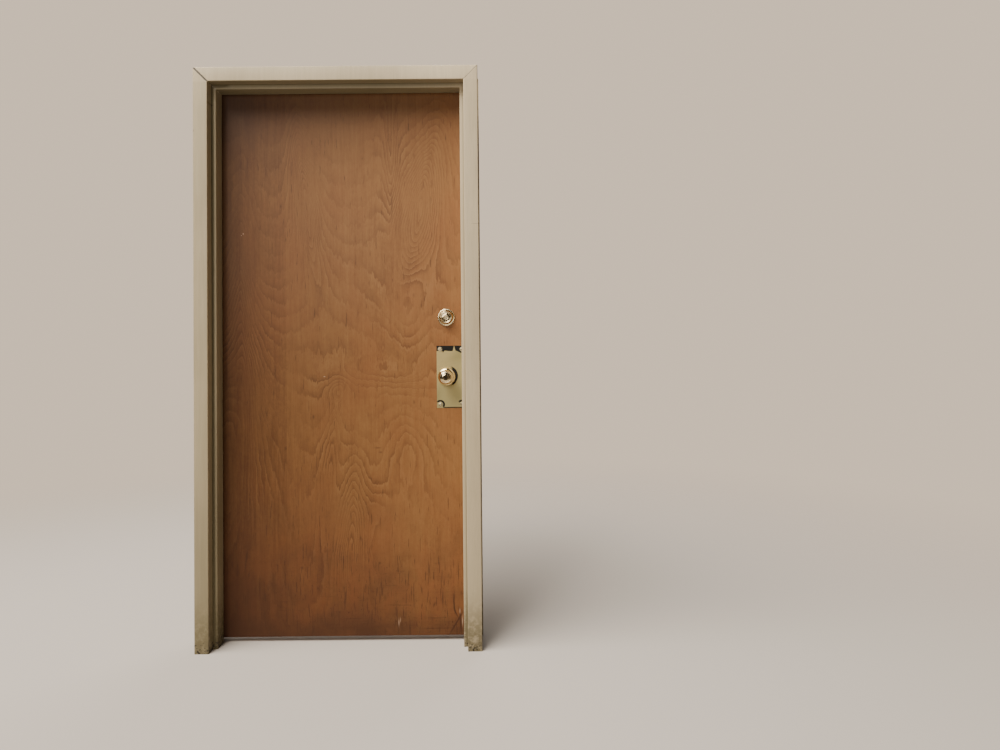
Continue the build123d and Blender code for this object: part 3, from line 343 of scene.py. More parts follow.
def framePaint():
    # Satin putty paint: cloudy tone lifted by painted light, painted shade in the folds, recesses and towards
    # the floor, grime near the floor, chips at the feet and along edges
    paint = Finish("framePaint")
    setup = paintSetup
    x, y, z = paint.x, paint.y, paint.z
    layers = paint.noises(setup["noises"])
    cloud, speckle = layers["cloud"], layers["speckle"]
    tone = (cloud * 0.75 + layers["streak"] * 0.25).over(0.32, 0.68) * setup["cloudStrength"]
    # Painted light: the slopes lift the tone towards the light colour on the lock side, higher up and on the
    # head's face
    colour = paint.blend((tone + paint.slopes(setup["paintedLightSlopes"])).least(1.0), setup["dull"], setup["light"])
    colour = paint.blend((layers["drag"] - 0.45).most(0.0) * setup["dragStrength"], colour, setup["shade"])
    # Painted shade in the inner folds beside the stops (most on the hinge side), on what faces down and what
    # lies deep, and towards the floor; grime rising from the floor at the feet
    inside = (abs(x).over(*setup["sideFold"]) + z.over(*setup["headFold"])).least(1.0)
    nearFold = y.hump(*setup["nearFold"]) * (1.0 + x.over(-0.38, -0.43) * 1.7)
    grimeAndShadeMasks = {
        "foldShade": (nearFold + y.hump(*setup["farFold"])) * inside,
        "deepShade": y.over(-0.071, -0.06) * y.over(0.071, 0.06) * (1.0 - x.over(0.4, 0.44) * 0.75),
        "underShade": paint.facing()[2].over(-0.3, -0.9),
        "low": z.over(setup["footHeight"], 0.01) * (speckle.over(0.3, 0.6) * 0.7 + 0.3),
        "floorShade": z.over(1.0, 0.0) * cloud,
    }
    dirtAndShade = sum(grimeAndShadeMasks[name] * strength for name, strength in setup["dirtAndShade"].items()).least(setup["mostDirtAndShade"])
    colour = paint.blend(dirtAndShade, colour, setup["grimeAndShade"])
    # Chips: sparse blotches that grow towards the feet
    chips = (layers["blotch"] + z.over(setup["chipHeight"], 0.0) * 0.24).over(*setup["chipLevel"])
    colour = paint.blend(chips, colour, setup["bare"])
    # Cracked paint along the mitres, wide on the hinge side of the near face, and knocks in the coat
    wander = (speckle - 0.5) * setup["wander"]
    rise = z - frameSizes["opening"]
    nearSide = y.over(0.0, -0.01)
    openMitre = abs(-x - frameSizes["halfOpening"] - rise + wander * 0.4).over(*setup["openMitre"]) * nearSide
    tightMitre = abs(abs(x) - frameSizes["halfOpening"] - rise + wander).over(*setup["tightMitre"])
    tightMitre = tightMitre * (0.35 + cloud * 0.5) * x.over(-0.01, 0.01).most(y.over(-0.01, 0.0))
    faces = abs(y).over(0.0722, 0.0728) * rise.over(-0.001, 0.002)
    cracks = ((openMitre + tightMitre) * faces + spots(x, z + wander * 0.5, setup["knocks"])).least(1.0)
    colour = paint.blend(cracks * 0.92, colour, setup["crack"])
    layers.update({"chips": chips, "cracks": cracks})
    return paint.surface({
        "Base Color": colour,
        "Roughness": 0.4 + cloud * 0.14 + dirtAndShade * 0.25,
        "Normal": paint.relief(layers, setup),
        "Specular IOR Level": setup["gloss"],
    })


# Veneer of the leaf
veneerSetup = {
    "light": (0.31, 0.155, 0.053), "middle": (0.245, 0.11, 0.036), "dark": (0.14, 0.054, 0.017),
    "line": (0.105, 0.04, 0.014), "pale": (0.42, 0.235, 0.1), "red": (0.255, 0.088, 0.03),
    "paintedShade": (0.016, 0.0045, 0.0015), "eye": (0.045, 0.018, 0.008), "dirtAndShade": (0.06, 0.024, 0.011),
    "scratch": (0.6, 0.42, 0.29), "edgeDark": (0.2, 0.095, 0.042), "edgeLight": (0.36, 0.19, 0.085),
    "gloss": 0.24, "varnish": 0.06, "varnishRoughness": 0.26, "lines": 14.0, "slope": 0.75,
    "rippleDepth": 0.048, "stepDepth": 0.062,
    "strength": {
        "lines": 0.52, "threads": 0.16, "pale": 0.16, "pores": 0.3, "shakes": 0.5, "eyes": 0.55,
        "scratches": 0.6,
    },
    # scale along x, y and z, octaves and roughness of each noise, and its shift where another one is alike
    "noises": {
        "slow": (1.7, 40.0, 0.55, 2.0, 0.4),
        "bend": (5.0, 40.0, 2.2, 3.0, 0.5),
        "sway": (5.0, 40.0, 2.2, 3.0, 0.5, (9.0, 0.0, 0.0)),
        "ripple": (30.0, 40.0, 22.0, 3.0, 0.6),
        "step": (100.0, 100.0, 13.0, 3.0, 0.6),
        "patch": (7.0, 40.0, 4.0, 3.0, 0.55, (0.0, 3.0, 0.0)),
        "finePatch": (9.0, 40.0, 4.4, 2.0, 0.55, (0.0, 5.0, 0.0)),
        "fibre": (330.0, 330.0, 6.5, 4.0, 0.6),
        "streak": (46.0, 46.0, 1.2, 3.0, 0.55),
        "mottle": (22.0, 40.0, 9.0, 3.0, 0.6),
        "strand": (115.0, 115.0, 7.0, 3.0, 0.65),
        "speck": (95.0, 40.0, 60.0, 4.0, 0.7),
        "tone": (2.6, 40.0, 0.9, 3.0, 0.5, (0.0, 7.0, 0.0)),
        "blush": (3.4, 40.0, 2.0, 4.0, 0.6, (0.0, 11.0, 0.0)),
        "pore": (760.0, 760.0, 42.0, 2.0, 0.5),
        "shake": (170.0, 170.0, 15.0, 2.0, 0.55),
        "smear": (5.0, 40.0, 7.0, 5.0, 0.62),
        "scuff": (7.0, 40.0, 190.0, 3.0, 0.6),
        "grit": (150.0, 40.0, 80.0, 3.0, 0.65),
        "stile": (120.0, 120.0, 3.0, 4.0, 0.6),
    },
    # x, z, half width, half height, lean, rise of each swell. A rise makes arches of the lines, a fall bowls.
    "swells": [
        (0.29, 1.6, 0.062, 0.24, 0.2, 0.92), (0.182, 1.74, 0.022, 0.25, 0.0, -0.3),
        (0.225, 1.24, 0.085, 0.19, 0.0, -0.34), (-0.13, 1.64, 0.038, 0.25, -0.12, 0.8),
        (-0.372, 1.25, 0.04, 0.42, 0.0, 0.5), (-0.43, 0.74, 0.12, 0.48, 0.0, 1.1),
        (0.032, 0.34, 0.05, 0.27, 0.02, 0.75), (0.13, 0.48, 0.06, 0.08, 0.0, 0.16),
        (-0.015, 0.925, 0.034, 0.038, 0.0, 0.22), (0.15, 0.985, 0.15, 0.06, 0.0, -0.22),
        (-0.05, 0.64, 0.03, 0.26, 0.1, 0.3), (0.24, 0.7, 0.06, 0.12, 0.0, 0.2),
    ],
    "tone": {"tone": 0.75, "streak": 0.4, "fibre": 0.4, "mottle": 0.45, "strand": 0.5, "speck": 0.45},
    # darker towards the hinge side and the floor: partly the veneer's tone, partly painted shade
    "toneAndShadeFalls": [("x", 0.3, -0.42, -0.12), ("z", 0.75, 0.05, -0.12)],
    # x of each seam in the sheet, with the tone step to its left
    "seams": [(-0.208, 0.16), (-0.322, 0.08)],
    # painted shade: start and slope across the door, then slopes that darken it more towards the hinge side,
    # under the head and towards the floor
    "shadeFrom": 0.42, "shadeSlope": 0.6,
    "shadeSlopes": [("x", -0.27, -0.43, 0.07), ("z", 1.62, 1.95, 0.2), ("z", 0.52, 0.0, 0.24)],
    "eyeSpread": (11.0, 40.0, 5.5), "eyeRadius": (0.1, 0.03), "eyeShare": (0.62, 0.7),
    # x, z, half width, half height, strength of each fleck and pin knot
    "flecks": [
        (-0.226, 1.601, 0.0032, 0.0075, 0.55), (-0.208, 1.477, 0.0026, 0.006, 0.5),
        (-0.109, 0.822, 0.0036, 0.008, 0.6), (-0.212, 0.708, 0.004, 0.006, 0.45),
        (0.128, 0.706, 0.0105, 0.0024, 0.55), (0.138, 0.69, 0.0065, 0.003, 0.5),
        (0.261, 0.873, 0.0034, 0.0062, 0.5), (0.063, 0.375, 0.0024, 0.0088, 0.65),
        (0.132, 0.284, 0.0042, 0.0042, 0.6), (-0.153, 0.269, 0.004, 0.006, 0.45),
        (0.31, 0.262, 0.0024, 0.03, 0.55), (0.318, 0.3, 0.0016, 0.022, 0.45),
        (0.185, 1.6, 0.0026, 0.046, 0.45), (-0.052, 0.962, 0.0022, 0.019, 0.4),
        (0.203, 1.262, 0.0016, 0.013, 0.35),
    ],
    # x, z, half width, half height, lean, darkness of each split at the lower lock corner
    "splits": [
        (0.409, 0.06, 0.0034, 0.048, 0.61, 1.00), (0.427, 0.06, 0.0032, 0.044, -0.06, 1.00),
        (0.403, 0.129, 0.0026, 0.03, -0.1, 0.9), (0.411, 0.096, 0.003, 0.02, -0.45, 0.75),
        (0.3616, 0.152, 0.0026, 0.03, 0.0, 0.7), (0.33, 0.13, 0.004, 0.01, 0.4, 0.5),
    ],
    # x, z, half width, half length, strength of each light scratch
    "scratches": [
        (0.2, 0.066, 0.0014, 0.011, 1.0), (0.206, 0.075, 0.0008, 0.008, 1.0),
        (0.424, 0.106, 0.0014, 0.008, 1.0), (0.433, 0.07, 0.0016, 0.016, 1.0),
        (-0.068, 0.97, 0.003, 0.0012, 1.0), (-0.365, 1.5, 0.0016, 0.0022, 1.0),
        (-0.372, 1.494, 0.001, 0.0014, 1.0),
    ],
    "nearSide": (0.05, 0.04),
    "relief": {
        "fibre": 0.5, "strand": 0.8, "mottle": 1.2, "growth": 0.25, "pores": -0.7, "shakes": -0.8,
        "scratches": -0.5,
    },
    "bump": (0.00022, 0.5),
}


def birchVeneer():
    # Rotary-cut face: growth lines are the contours of a slow noise field with swells added,
    # so they close into arches and loops. Fibres and pores run along the height.
    wood = Finish("birchVeneer")
    setup = veneerSetup
    x, y, z = wood.x, wood.y, wood.z
    layers, strength = wood.noises(setup["noises"]), setup["strength"]
    bend, sway = layers["bend"] - 0.5, layers["sway"] - 0.5
    field = layers["slow"] * 0.9 - z * setup["slope"]
    shown = 0.1
    for centreX, centreZ, halfWidth, halfHeight, lean, rise in setup["swells"]:
        # Swell = rise * exp(-((across / half width) squared + 0.03)^0.75 - (up / half height) squared)
        up = z + sway * 0.12 - centreZ
        across = x + bend * 0.05 - centreX - up * lean
        spread = (across * across / halfWidth**2 + 0.03) ** 0.75
        height = up * up / halfHeight**2
        field = field + (-(spread + height)).exp() * rise
        shown = (-(spread * 0.3 + height * 0.6)).exp() * 0.9 + shown
    field = field + layers["ripple"] * setup["rippleDepth"] + layers["step"] * setup["stepDepth"]
    level = field * setup["lines"]
    phase = level.fract()
    growth = phase.over(0.25, 0.94) ** 2.0 * phase.over(1.0, 0.95)
    pale = phase.over(0.0, 0.04) * phase.over(0.35, 0.05)
    thread = (level * 3.0).fract()
    threads = thread.over(0.3, 0.9) * thread.over(1.0, 0.92)
    patchy = layers["patch"].over(0.36, 0.66) * shown.least(1.0)
    patchier = layers["finePatch"].over(0.42, 0.64) * shown.least(1.0)
    # Tone: darker towards the hinge side and the floor, partly the veneer's own tone and partly painted shade
    amount = 0.6 + sum((layers[name] - 0.5) * share for name, share in setup["tone"].items())
    amount = amount + wood.slopes(setup["toneAndShadeFalls"])
    for seamX, step in setup["seams"]:
        amount = amount - x.over(seamX + 0.0012, seamX) * step
    stops = [(0.0, setup["dark"]), (0.5, setup["middle"]), (1.0, setup["light"])]
    colour = wood.node("ShaderNodeValToRGB", {"stops": stops}, {0: amount})
    reddish = layers["blush"].over(0.4, 0.68) * 0.3
    reddish = reddish + z.over(0.55, 0.1) * (layers["mottle"].over(0.3, 0.65) * 0.45 + 0.15)
    colour = wood.blend(reddish.least(0.8), colour, setup["red"])
    lines = growth * (patchy * strength["lines"] + 0.04) * (layers["strand"] * 1.2 + 0.4)
    colour = wood.blend(lines + threads * patchier * strength["threads"], colour, setup["line"])
    colour = wood.blend(pale * patchy * strength["pale"], colour, setup["pale"])
    # Painted shade: darker towards the hinge side, under the head and towards the floor, where the frame
    # shades the door and the light falls off
    paintedShade = (setup["shadeFrom"] - x) * setup["shadeSlope"] + wood.slopes(setup["shadeSlopes"])
    paintedShade = (paintedShade.most(0.0) + (layers["tone"] - 0.5) * 0.2).least(0.85)
    colour = wood.blend(paintedShade, colour, setup["paintedShade"])
    # Pores: short dark dashes along the grain
    pores = layers["pore"].over(0.64, 0.73)
    colour = wood.blend(pores * strength["pores"], colour, setup["line"])
    # Shakes: short cracks along the grain, thick on the lower part
    shakes = (layers["shake"] + z.over(0.6, 0.1) * 0.07).over(0.66, 0.73)
    colour = wood.blend(shakes * strength["shakes"], colour, setup["eye"])
    # Pin knots: one cell in several has a small dark eye, longer than wide
    eyePlace = wood.scaled(setup["eyeSpread"])
    chosen = wood.node("ShaderNodeSeparateColor", {}, {0: wood.cells(eyePlace, "Color")})
    eyes = wood.cells(eyePlace, "Distance").over(*setup["eyeRadius"])
    knots = eyes * chosen.over(*setup["eyeShare"]) * strength["eyes"]
    # Flecks and splits, on the near side alone
    nearSide = y.over(*setup["nearSide"])
    marks = spots(x + bend * 0.006, z, setup["flecks"])
    for splitX, splitZ, halfWidth, halfHeight, lean, dark in setup["splits"]:
        along = z - splitZ
        marks = marks + (x - along * lean).hump(splitX, halfWidth) * along.hump(0.0, halfHeight) * dark
    colour = wood.blend((knots + marks * nearSide).least(0.85), colour, setup["eye"])
    # Dirt that has been kicked and mopped on, and rubbed patches
    kicked = layers["smear"].over(0.34, 0.7) * 0.5 + layers["grit"].over(0.58, 0.7) * 0.5
    rubbedAndSheen = z.over(0.34, 0.1) * layers["scuff"].over(0.6, 0.7) * 0.35
    grimeAndShade = z.over(0.7, 0.02) * kicked + rubbedAndSheen + z.over(0.12, 0.02) * 0.45
    colour = wood.blend(grimeAndShade.least(0.85), colour, setup["dirtAndShade"])
    scratches = (spots(x, z, setup["scratches"]) * nearSide).least(1.0)
    colour = wood.blend(scratches * strength["scratches"], colour, setup["scratch"])
    # Sawn edges of the leaf: plain stiles and rails
    edge = abs(wood.facing()[1]).over(0.75, 0.55)
    edgeColour = wood.blend(layers["stile"].over(0.25, 0.75), setup["edgeDark"], setup["edgeLight"])
    colour = wood.blend(edge, colour, edgeColour)
    layers.update({"pores": pores, "growth": growth, "scratches": scratches, "shakes": shakes})
    return wood.surface({
        "Base Color": colour,
        "Roughness": 0.38 + layers["smear"] * 0.16 + grimeAndShade * 0.22 + edge * 0.2 + layers["fibre"] * 0.06,
        "Normal": wood.relief(layers, setup),
        "Specular IOR Level": setup["gloss"],
        "Coat Weight": (setup["varnish"] - grimeAndShade * setup["varnish"]).most(0.0),
        "Coat Roughness": setup["varnishRoughness"],
    })


# Brass of the wrap-around plate
plateSetup = {
    "lit": (0.535, 0.425, 0.2), "olive": (0.455, 0.385, 0.18), "shaded": (0.25, 0.215, 0.095),
    # Near-black, which also paints the knob's shadow and the shade round the screws; pale painted highlight
    # of the screw dimples; dark of their pits
    "blackAndShadow": (0.006, 0.006, 0.005), "screwHighlight": (0.82, 0.72, 0.52), "pit": (0.04, 0.034, 0.022),
    "metallic": 0.66, "gloss": 0.25,
    "noises": {
        "cloud": (16.0, 16.0, 11.0, 4.0, 0.55),
        "wander": (60.0, 60.0, 60.0, 3.0, 0.6),
        "pits": (230.0, 230.0, 230.0, 2.0, 0.6),
        "scratches": (30.0, 30.0, 900.0, 2.0, 0.6),
    },
    "left": 0.34605, "right": 0.45167, "bottom": 0.8509, "top": 1.0795, "screwInset": 0.0127,
    "edgeScrewX": 0.43897, "dimple": 0.0082, "wander": 0.01, "bandDepth": 0.02,
    # start, end and depth of each deepening of the black band towards the edge of the door
    "bandSteps": [("x", 0.438, 0.449, 0.026), ("x", 0.414, 0.436, 0.006)],
    "partingPoint": 0.4105,
    # offset from the knob, radius and half width of the black crescent that is the painted shadow of the
    # knob, then the same of each part ring of painted shade round the screws
    "knobShadow": (0.0035, 0.003, 0.0322, 0.0055), "screwShadeRing": (0.0134, 0.0036),
    "relief": {"cloud": 0.4, "scratches": 0.012, "domes": 0.5},
    "bump": (0.0024, 0.6),
}


def wornBrass():
    # Handled sheet brass: olive, with a painted reflection paler towards the hinge-side edge and the top,
    # painted dark reflections in smudges, black along the top and foot, the painted shadow of the knob beside
    # the rose, painted shade in part rings round the corner screws, and a painted highlight on their pitted
    # dimples
    brass = Finish("wornBrass")
    setup = plateSetup
    x, z = brass.x, brass.z
    layers = brass.noises(setup["noises"])
    cloud = layers["cloud"]
    # Painted reflection: paler brass towards the hinge-side edge and the top, mixed with cloudy random tone
    rubbedAndSheen = x.over(setup["right"], setup["left"]) * z.over(0.93, 1.04) * 0.45 + cloud * 0.55
    colour = brass.blend(rubbedAndSheen.over(0.2, 0.75), setup["olive"], setup["lit"])
    # Painted dark reflections: a slanting smudge at the upper lock side, one below the rose at the left, and
    # clouds
    darkReflection = (x - 0.4 - (z - 1.045) * 1.1).over(-0.02, 0.03) * z.over(1.005, 1.045) * 0.45
    darkReflection = darkReflection + (x - 0.36 + (0.93 - z) * 0.4).hump(0.0, 0.014) * z.over(0.95, 0.9) * 0.3
    colour = brass.blend((darkReflection + abs(cloud - 0.5) * 0.5).least(0.8), colour, setup["shaded"])
    # Black band along the top, parted by a point of plain brass, and deeper towards the edge of the door
    wander = (layers["wander"] - 0.5) * setup["wander"]
    depth = setup["top"] - z + wander
    band = (brass.slopes(setup["bandSteps"]) + setup["bandDepth"] - depth).over(0.0, 0.0016)
    point = (abs(x - setup["partingPoint"]) - depth * 0.3).over(-0.0006, 0.0008)
    foot = z.over(setup["bottom"] + 0.0044, setup["bottom"] + 0.0026) * x.over(0.366, 0.376) * 0.95
    # Painted shadow of the knob: a black crescent on the plate to the lock side of the rose
    offsetX, offsetZ, *ring = setup["knobShadow"]
    besideX, besideZ = x - locks["x"] - offsetX, z - locks["knobZ"] - offsetZ
    knobShadow = (distance(besideX, besideZ) + wander * 0.3).hump(*ring).over(0.2, 0.5)
    knobShadow = knobShadow * besideX.over(0.008, 0.02)
    # Painted shade in part rings on the upper lock side of each corner screw, and a painted highlight on each
    # dimple
    screwShade, domes = 0.0, 0.0
    for screwX in (setup["left"] + setup["screwInset"], setup["edgeScrewX"]):
        for screwZ in (setup["bottom"] + setup["screwInset"], setup["top"] - setup["screwInset"]):
            acrossX, acrossZ = x - screwX, z - screwZ
            radius = distance(acrossX, acrossZ) + wander * 0.2
            side = (acrossX + acrossZ * 1.2).over(-0.008, 0.004)
            screwShade = radius.hump(*setup["screwShadeRing"]).over(0.22, 0.55) * side + screwShade
            domes = radius.over(setup["dimple"] + 0.0012, setup["dimple"] - 0.0028) + domes
    screwHighlight = domes.least(1.0)
    dark = (band * point + foot + screwShade + knobShadow).least(1.0) * (1.0 - screwHighlight)
    colour = brass.blend(dark, colour, setup["blackAndShadow"])
    colour = brass.blend(screwHighlight * 0.45, colour, setup["screwHighlight"])
    colour = brass.blend((layers["pits"].over(0.5, 0.56) * domes).least(1.0) * 0.85, colour, setup["pit"])
    layers["domes"] = domes
    return brass.surface({
        "Base Color": colour,
        "Metallic": setup["metallic"] - dark * setup["metallic"],
        "Roughness": 0.32 + cloud * 0.14 + layers["scratches"] * 0.06 + dark * 0.3 - screwHighlight * 0.1,
        "Normal": brass.relief(layers, setup),
        "Specular IOR Level": setup["gloss"],
    })


# Bare and plated metals: material, bright colour, clouded colour, roughness and depth of the grain by slot
metalSlots = {
    "polished_brass": ("polishedBrass", (0.9, 0.76, 0.5), (0.76, 0.61, 0.36), 0.075, 0.02),
    "cylinder_brass": ("cylinderBrass", (0.84, 0.72, 0.48), (0.62, 0.5, 0.3), 0.075, 0.04),
    "hinge_steel": ("hingeSteel", (0.62, 0.58, 0.52), (0.45, 0.41, 0.36), 0.34, 0.3),
    "strike_steel": ("strikeSteel", (0.66, 0.62, 0.55), (0.5, 0.46, 0.39), 0.3, 0.25),
    "zinc_plated_steel": ("zincPlate", (0.66, 0.66, 0.62), (0.52, 0.51, 0.46), 0.36, 0.2),
    "galvanised_steel": ("galvanisedSheet", (0.55, 0.56, 0.57), (0.38, 0.39, 0.4), 0.45, 0.15),
}
metalSetup = {
    "noises": {
        "cloud": (34.0, 34.0, 34.0, 4.0, 0.6),
        "grain": (700.0, 160.0, 700.0, 3.0, 0.6),
        "wear": (210.0, 210.0, 210.0, 3.0, 0.65),
    },
    "bump": (0.0003, 0.16),
}


def bareMetal(name, bright, clouded, roughness, grain):
    # Clouded tone, fine turning or rolling grain, and handling marks in the roughness
    metal = Finish(name)
    layers = metal.noises(metalSetup["noises"])
    cloud = layers["cloud"]
    return metal.surface({
        "Base Color": metal.blend(cloud.over(0.3, 0.7), clouded, bright),
        "Metallic": 1.0,
        "Roughness": roughness + cloud * 0.1 + layers["wear"] * 0.06 - 0.06,
        "Normal": metal.bump(layers["grain"] * grain + cloud, *metalSetup["bump"]),
    })


rubberSetup = {
    "dark": (0.13, 0.125, 0.12), "light": (0.19, 0.18, 0.17), "speck": (900.0, 900.0, 900.0, 3.0, 0.6),
    "roughness": 0.7, "bump": (0.0001, 0.4),
}


def silencerRubber():
    # Matt rubber with a fine speck
    rubber = Finish("silencerRubber")
    speck = rubber.noise(*rubberSetup["speck"])
    return rubber.surface({
        "Base Color": rubber.blend(speck, rubberSetup["dark"], rubberSetup["light"]),
        "Roughness": rubberSetup["roughness"] + speck * 0.1,
        "Normal": rubber.bump(speck, *rubberSetup["bump"]),
    })


finishes = {
    "frame_paint": framePaint(),
    "birch_veneer": birchVeneer(),
    "worn_brass": wornBrass(),
    **{slot: bareMetal(*row) for slot, row in metalSlots.items()},
    "silencer_rubber": silencerRubber(),
}
for entry in frame["record"]["subparts"]:
    for place in cadNodes[entry["node"]].material_slots:
        place.material = finishes[entry["material_slot"]]
print("finishes on the CAD nodes")

# Meshes: points round a turned piece, distance at which points merge, angle in degrees that stays sharp
meshSetup = {"around": 144, "merge": 2e-6, "crease": 35.0}


def filletPath(corners, steps=6):
    # Line through the corners, each a row of two places and a radius, with an arc for the corner.
    # The arc starts radius * tan(bend / 2) before the corner, and its points stand on the circle round the
    # corner's inner centre. Gives the points and their normals to the right of travel.
    path = np.array([corner[:2] for corner in corners], float)
    ways = np.diff(path, axis=0)
    ways /= np.linalg.norm(ways, axis=1)[:, None]
    right = np.stack([ways[:, 1], -ways[:, 0]], axis=1)
    points, normals = [path[:1]], [right[:1]]
    for index in range(1, len(path) - 1):
        before, after = ways[index - 1], ways[index]
        bend = np.arctan2(before[0] * after[1] - before[1] * after[0], before @ after)
        radius = corners[index][2]
        if radius == 0.0 or abs(bend) < 1e-6:
            points.append(path[index : index + 1])
            normals.append(right[index : index + 1])
            continue
        first = right[index - 1]
        inward = -np.sign(bend)
        centre = path[index] - before * radius * np.tan(abs(bend) / 2) + inward * first * radius
        angles = np.linspace(0.0, bend, steps + 1)
        cosines, sines = np.cos(angles), np.sin(angles)
        arc = np.stack([first[0] * cosines - first[1] * sines, first[0] * sines + first[1] * cosines], axis=1)
        points.append(centre - inward * radius * arc)
        normals.append(arc)
    points.append(path[-1:])
    normals.append(right[-1:])
    return np.concatenate(points), np.concatenate(normals)


def arcPoints(start, middle, end, count):
    # Circle through three points: its centre is where the chords' bisectors cross
    a, b, c = (np.array(point, float) for point in (start, middle, end))
    system = np.array([b - a, c - a]) * 2.0
    centre = np.linalg.solve(system, np.array([b @ b - a @ a, c @ c - a @ a]))
    radius = np.linalg.norm(a - centre)
    angles = [np.arctan2(*(point - centre)[::-1]) for point in (a, b, c)]
    sweep = (angles[2] - angles[0]) % (2 * pi)
    if (angles[1] - angles[0]) % (2 * pi) > sweep:
        sweep -= 2 * pi
    along = angles[0] + np.linspace(0.0, sweep, count)
    return centre + radius * np.stack([np.cos(along), np.sin(along)], axis=1)


def loftFaces(loops, points):
    # Quad between neighbouring loops and neighbouring points, wrapped round each loop
    loop = np.arange(loops - 1)[:, None] * points
    point = np.arange(points)[None, :]
    following = (point + 1) % points
    near, far = loop + point, loop + following
    return np.stack([near, far, far + points, near + points], axis=-1).reshape(-1, 4)


def makePiece(name, node, points, faces, body, slot, finish=None):
    # Merges the points that meet, turns the faces outwards, and lets the piece stand for its CAD node
    mesh = bpy.data.meshes.new(name)
    mesh.from_pydata(np.reshape(points, (-1, 3)).tolist(), [], faces.tolist())
    shape = bmesh.new()
    shape.from_mesh(mesh)
    bmesh.ops.remove_doubles(shape, verts=shape.verts, dist=meshSetup["merge"])
    bmesh.ops.recalc_face_normals(shape, faces=shape.faces)
    shape.to_mesh(mesh)
    shape.free()
    mesh.shade_smooth()
    mesh.set_sharp_from_angle(angle=radians(meshSetup["crease"]))
    mesh.materials.append(finish or finishes[slot])
    piece = bpy.data.objects.new(name, mesh)
    scene.collection.objects.link(piece)
    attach(piece, body)
    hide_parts(node)


def turnedLoops(profile, centre, outward):
    # Point = centre + outward * height + radius * (side * cos t + up * sin t), for each radius and height of
    # the profile. A radius may be an array with one value for each t.
    centre, outward, up = (np.array(vector, float) for vector in (centre, outward, (0.0, 0.0, 1.0)))
    side = np.cross(up, outward)
    t = np.linspace(0.0, 2.0 * pi, meshSetup["around"], endpoint=False)
    ring = side * np.cos(t)[:, None] + up * np.sin(t)[:, None]
    radii = np.stack([radius * np.ones(len(t)) for radius, height in profile])
    heights = np.array([height for radius, height in profile])
    return centre + outward * heights[:, None, None] + ring * radii[:, :, None]


def turnedPiece(name, node, profiles, seat, body, slot, finish=None):
    # One surface of revolution for each profile, with its points and faces numbered on from the one before
    points, faces, start = [], [], 0
    for profile in profiles:
        loops = turnedLoops(profile, *seat)
        points.append(loops.reshape(-1, 3))
        faces.append(loftFaces(*loops.shape[:2]) + start)
        start += len(points[-1])
    makePiece(name, node, np.concatenate(points), np.concatenate(faces), body, slot, finish)


# Frame: each member is one folded sheet carried along its length. A cut-out for a hinge or a strike has its
# start and end across the far rabbet, None where it runs round the bend to the far face, then the middle and
# half of its height.
jambCuts = {
    "hinge": [(0.031475, None, middle, 0.05745) for middle in (0.31115, 1.0795, 1.84785)],
    "strike": [
        (0.031475, 0.063825, locks["knobZ"], 0.0622),
        (0.04765, None, locks["knobZ"], 0.0183),
        (0.03305, 0.06225, locks["boltZ"], 0.035225),
    ],
}


def frameSection(cutEdges=()):
    # Outer face of the sheet, from the near wall edge round both rabbets and the stop to the far wall edge
    s = frameSizes
    outer, inner = s["outerBend"], s["innerBend"]
    return filletPath([
        (s["face"], -s["halfDepth"] + s["backbend"], 0.0), (s["face"], -s["halfDepth"], outer),
        (0.0, -s["halfDepth"], outer), (0.0, s["stopNear"], inner), (-s["stop"], s["stopNear"], outer),
        (-s["stop"], s["stopFar"], outer), (0.0, s["stopFar"], inner),
        *[(0.0, y, 0.0) for y in cutEdges],
        (0.0, s["halfDepth"], outer), (s["bendReach"], s["halfDepth"], 0.0),
        (s["face"], s["halfDepth"], outer), (s["face"], s["halfDepth"] - s["backbend"], 0.0),
    ])


def foldedMember(name, node, section, levels, place, cuts=()):
    # A grid of section points by levels, once for each side of the sheet. Cells in a cut-out are dropped, and
    # each edge between a kept cell and a dropped one, or the outside, gets a strip across the sheet.
    points, normals = section
    count, rows = len(points), len(levels)
    sides = [points, points + normals * frameSizes["sheet"]]
    grid = np.stack([np.stack([place(side, level) for level in levels], axis=1) for side in sides])
    kept = np.ones((count + 1, rows + 1), bool)
    kept[[0, -1], :] = False
    kept[:, [0, -1]] = False
    for firstPoint, lastPoint, firstRow, lastRow in cuts:
        kept[firstPoint + 1 : lastPoint + 1, firstRow + 1 : lastRow + 1] = False
    shown, hidden = np.arange(2 * count * rows).reshape(2, count, rows)
    i, j = np.nonzero(kept[1:-1, 1:-1])
    quads = [
        (shown[i, j], shown[i + 1, j], shown[i + 1, j + 1], shown[i, j + 1]),
        (hidden[i, j], hidden[i, j + 1], hidden[i + 1, j + 1], hidden[i + 1, j]),
    ]
    i, j = np.nonzero(kept[1:, 1:-1] != kept[:-1, 1:-1])
    quads.append((shown[i, j], shown[i, j + 1], hidden[i, j + 1], hidden[i, j]))
    i, j = np.nonzero(kept[1:-1, 1:] != kept[1:-1, :-1])
    quads.append((shown[i, j], shown[i + 1, j], hidden[i + 1, j], hidden[i, j]))
    faces = np.concatenate([np.stack(quad, axis=1) for quad in quads])
    makePiece(name, node, grid, faces, "frame", "frame_paint")


def mitreCut(gap):
    return gap / 2 * 2.0**0.5  # half of the gap, which is measured square to the mitre


def headPlace(side, level):
    # Reach to each mitre = half the opening + distance into the wall, less the cut
    sign, gap = level
    reach = frameSizes["halfOpening"] + side[:, 0] - mitreCut(gap)
    return np.stack([sign * reach, side[:, 1], frameSizes["opening"] + side[:, 0]], axis=1)


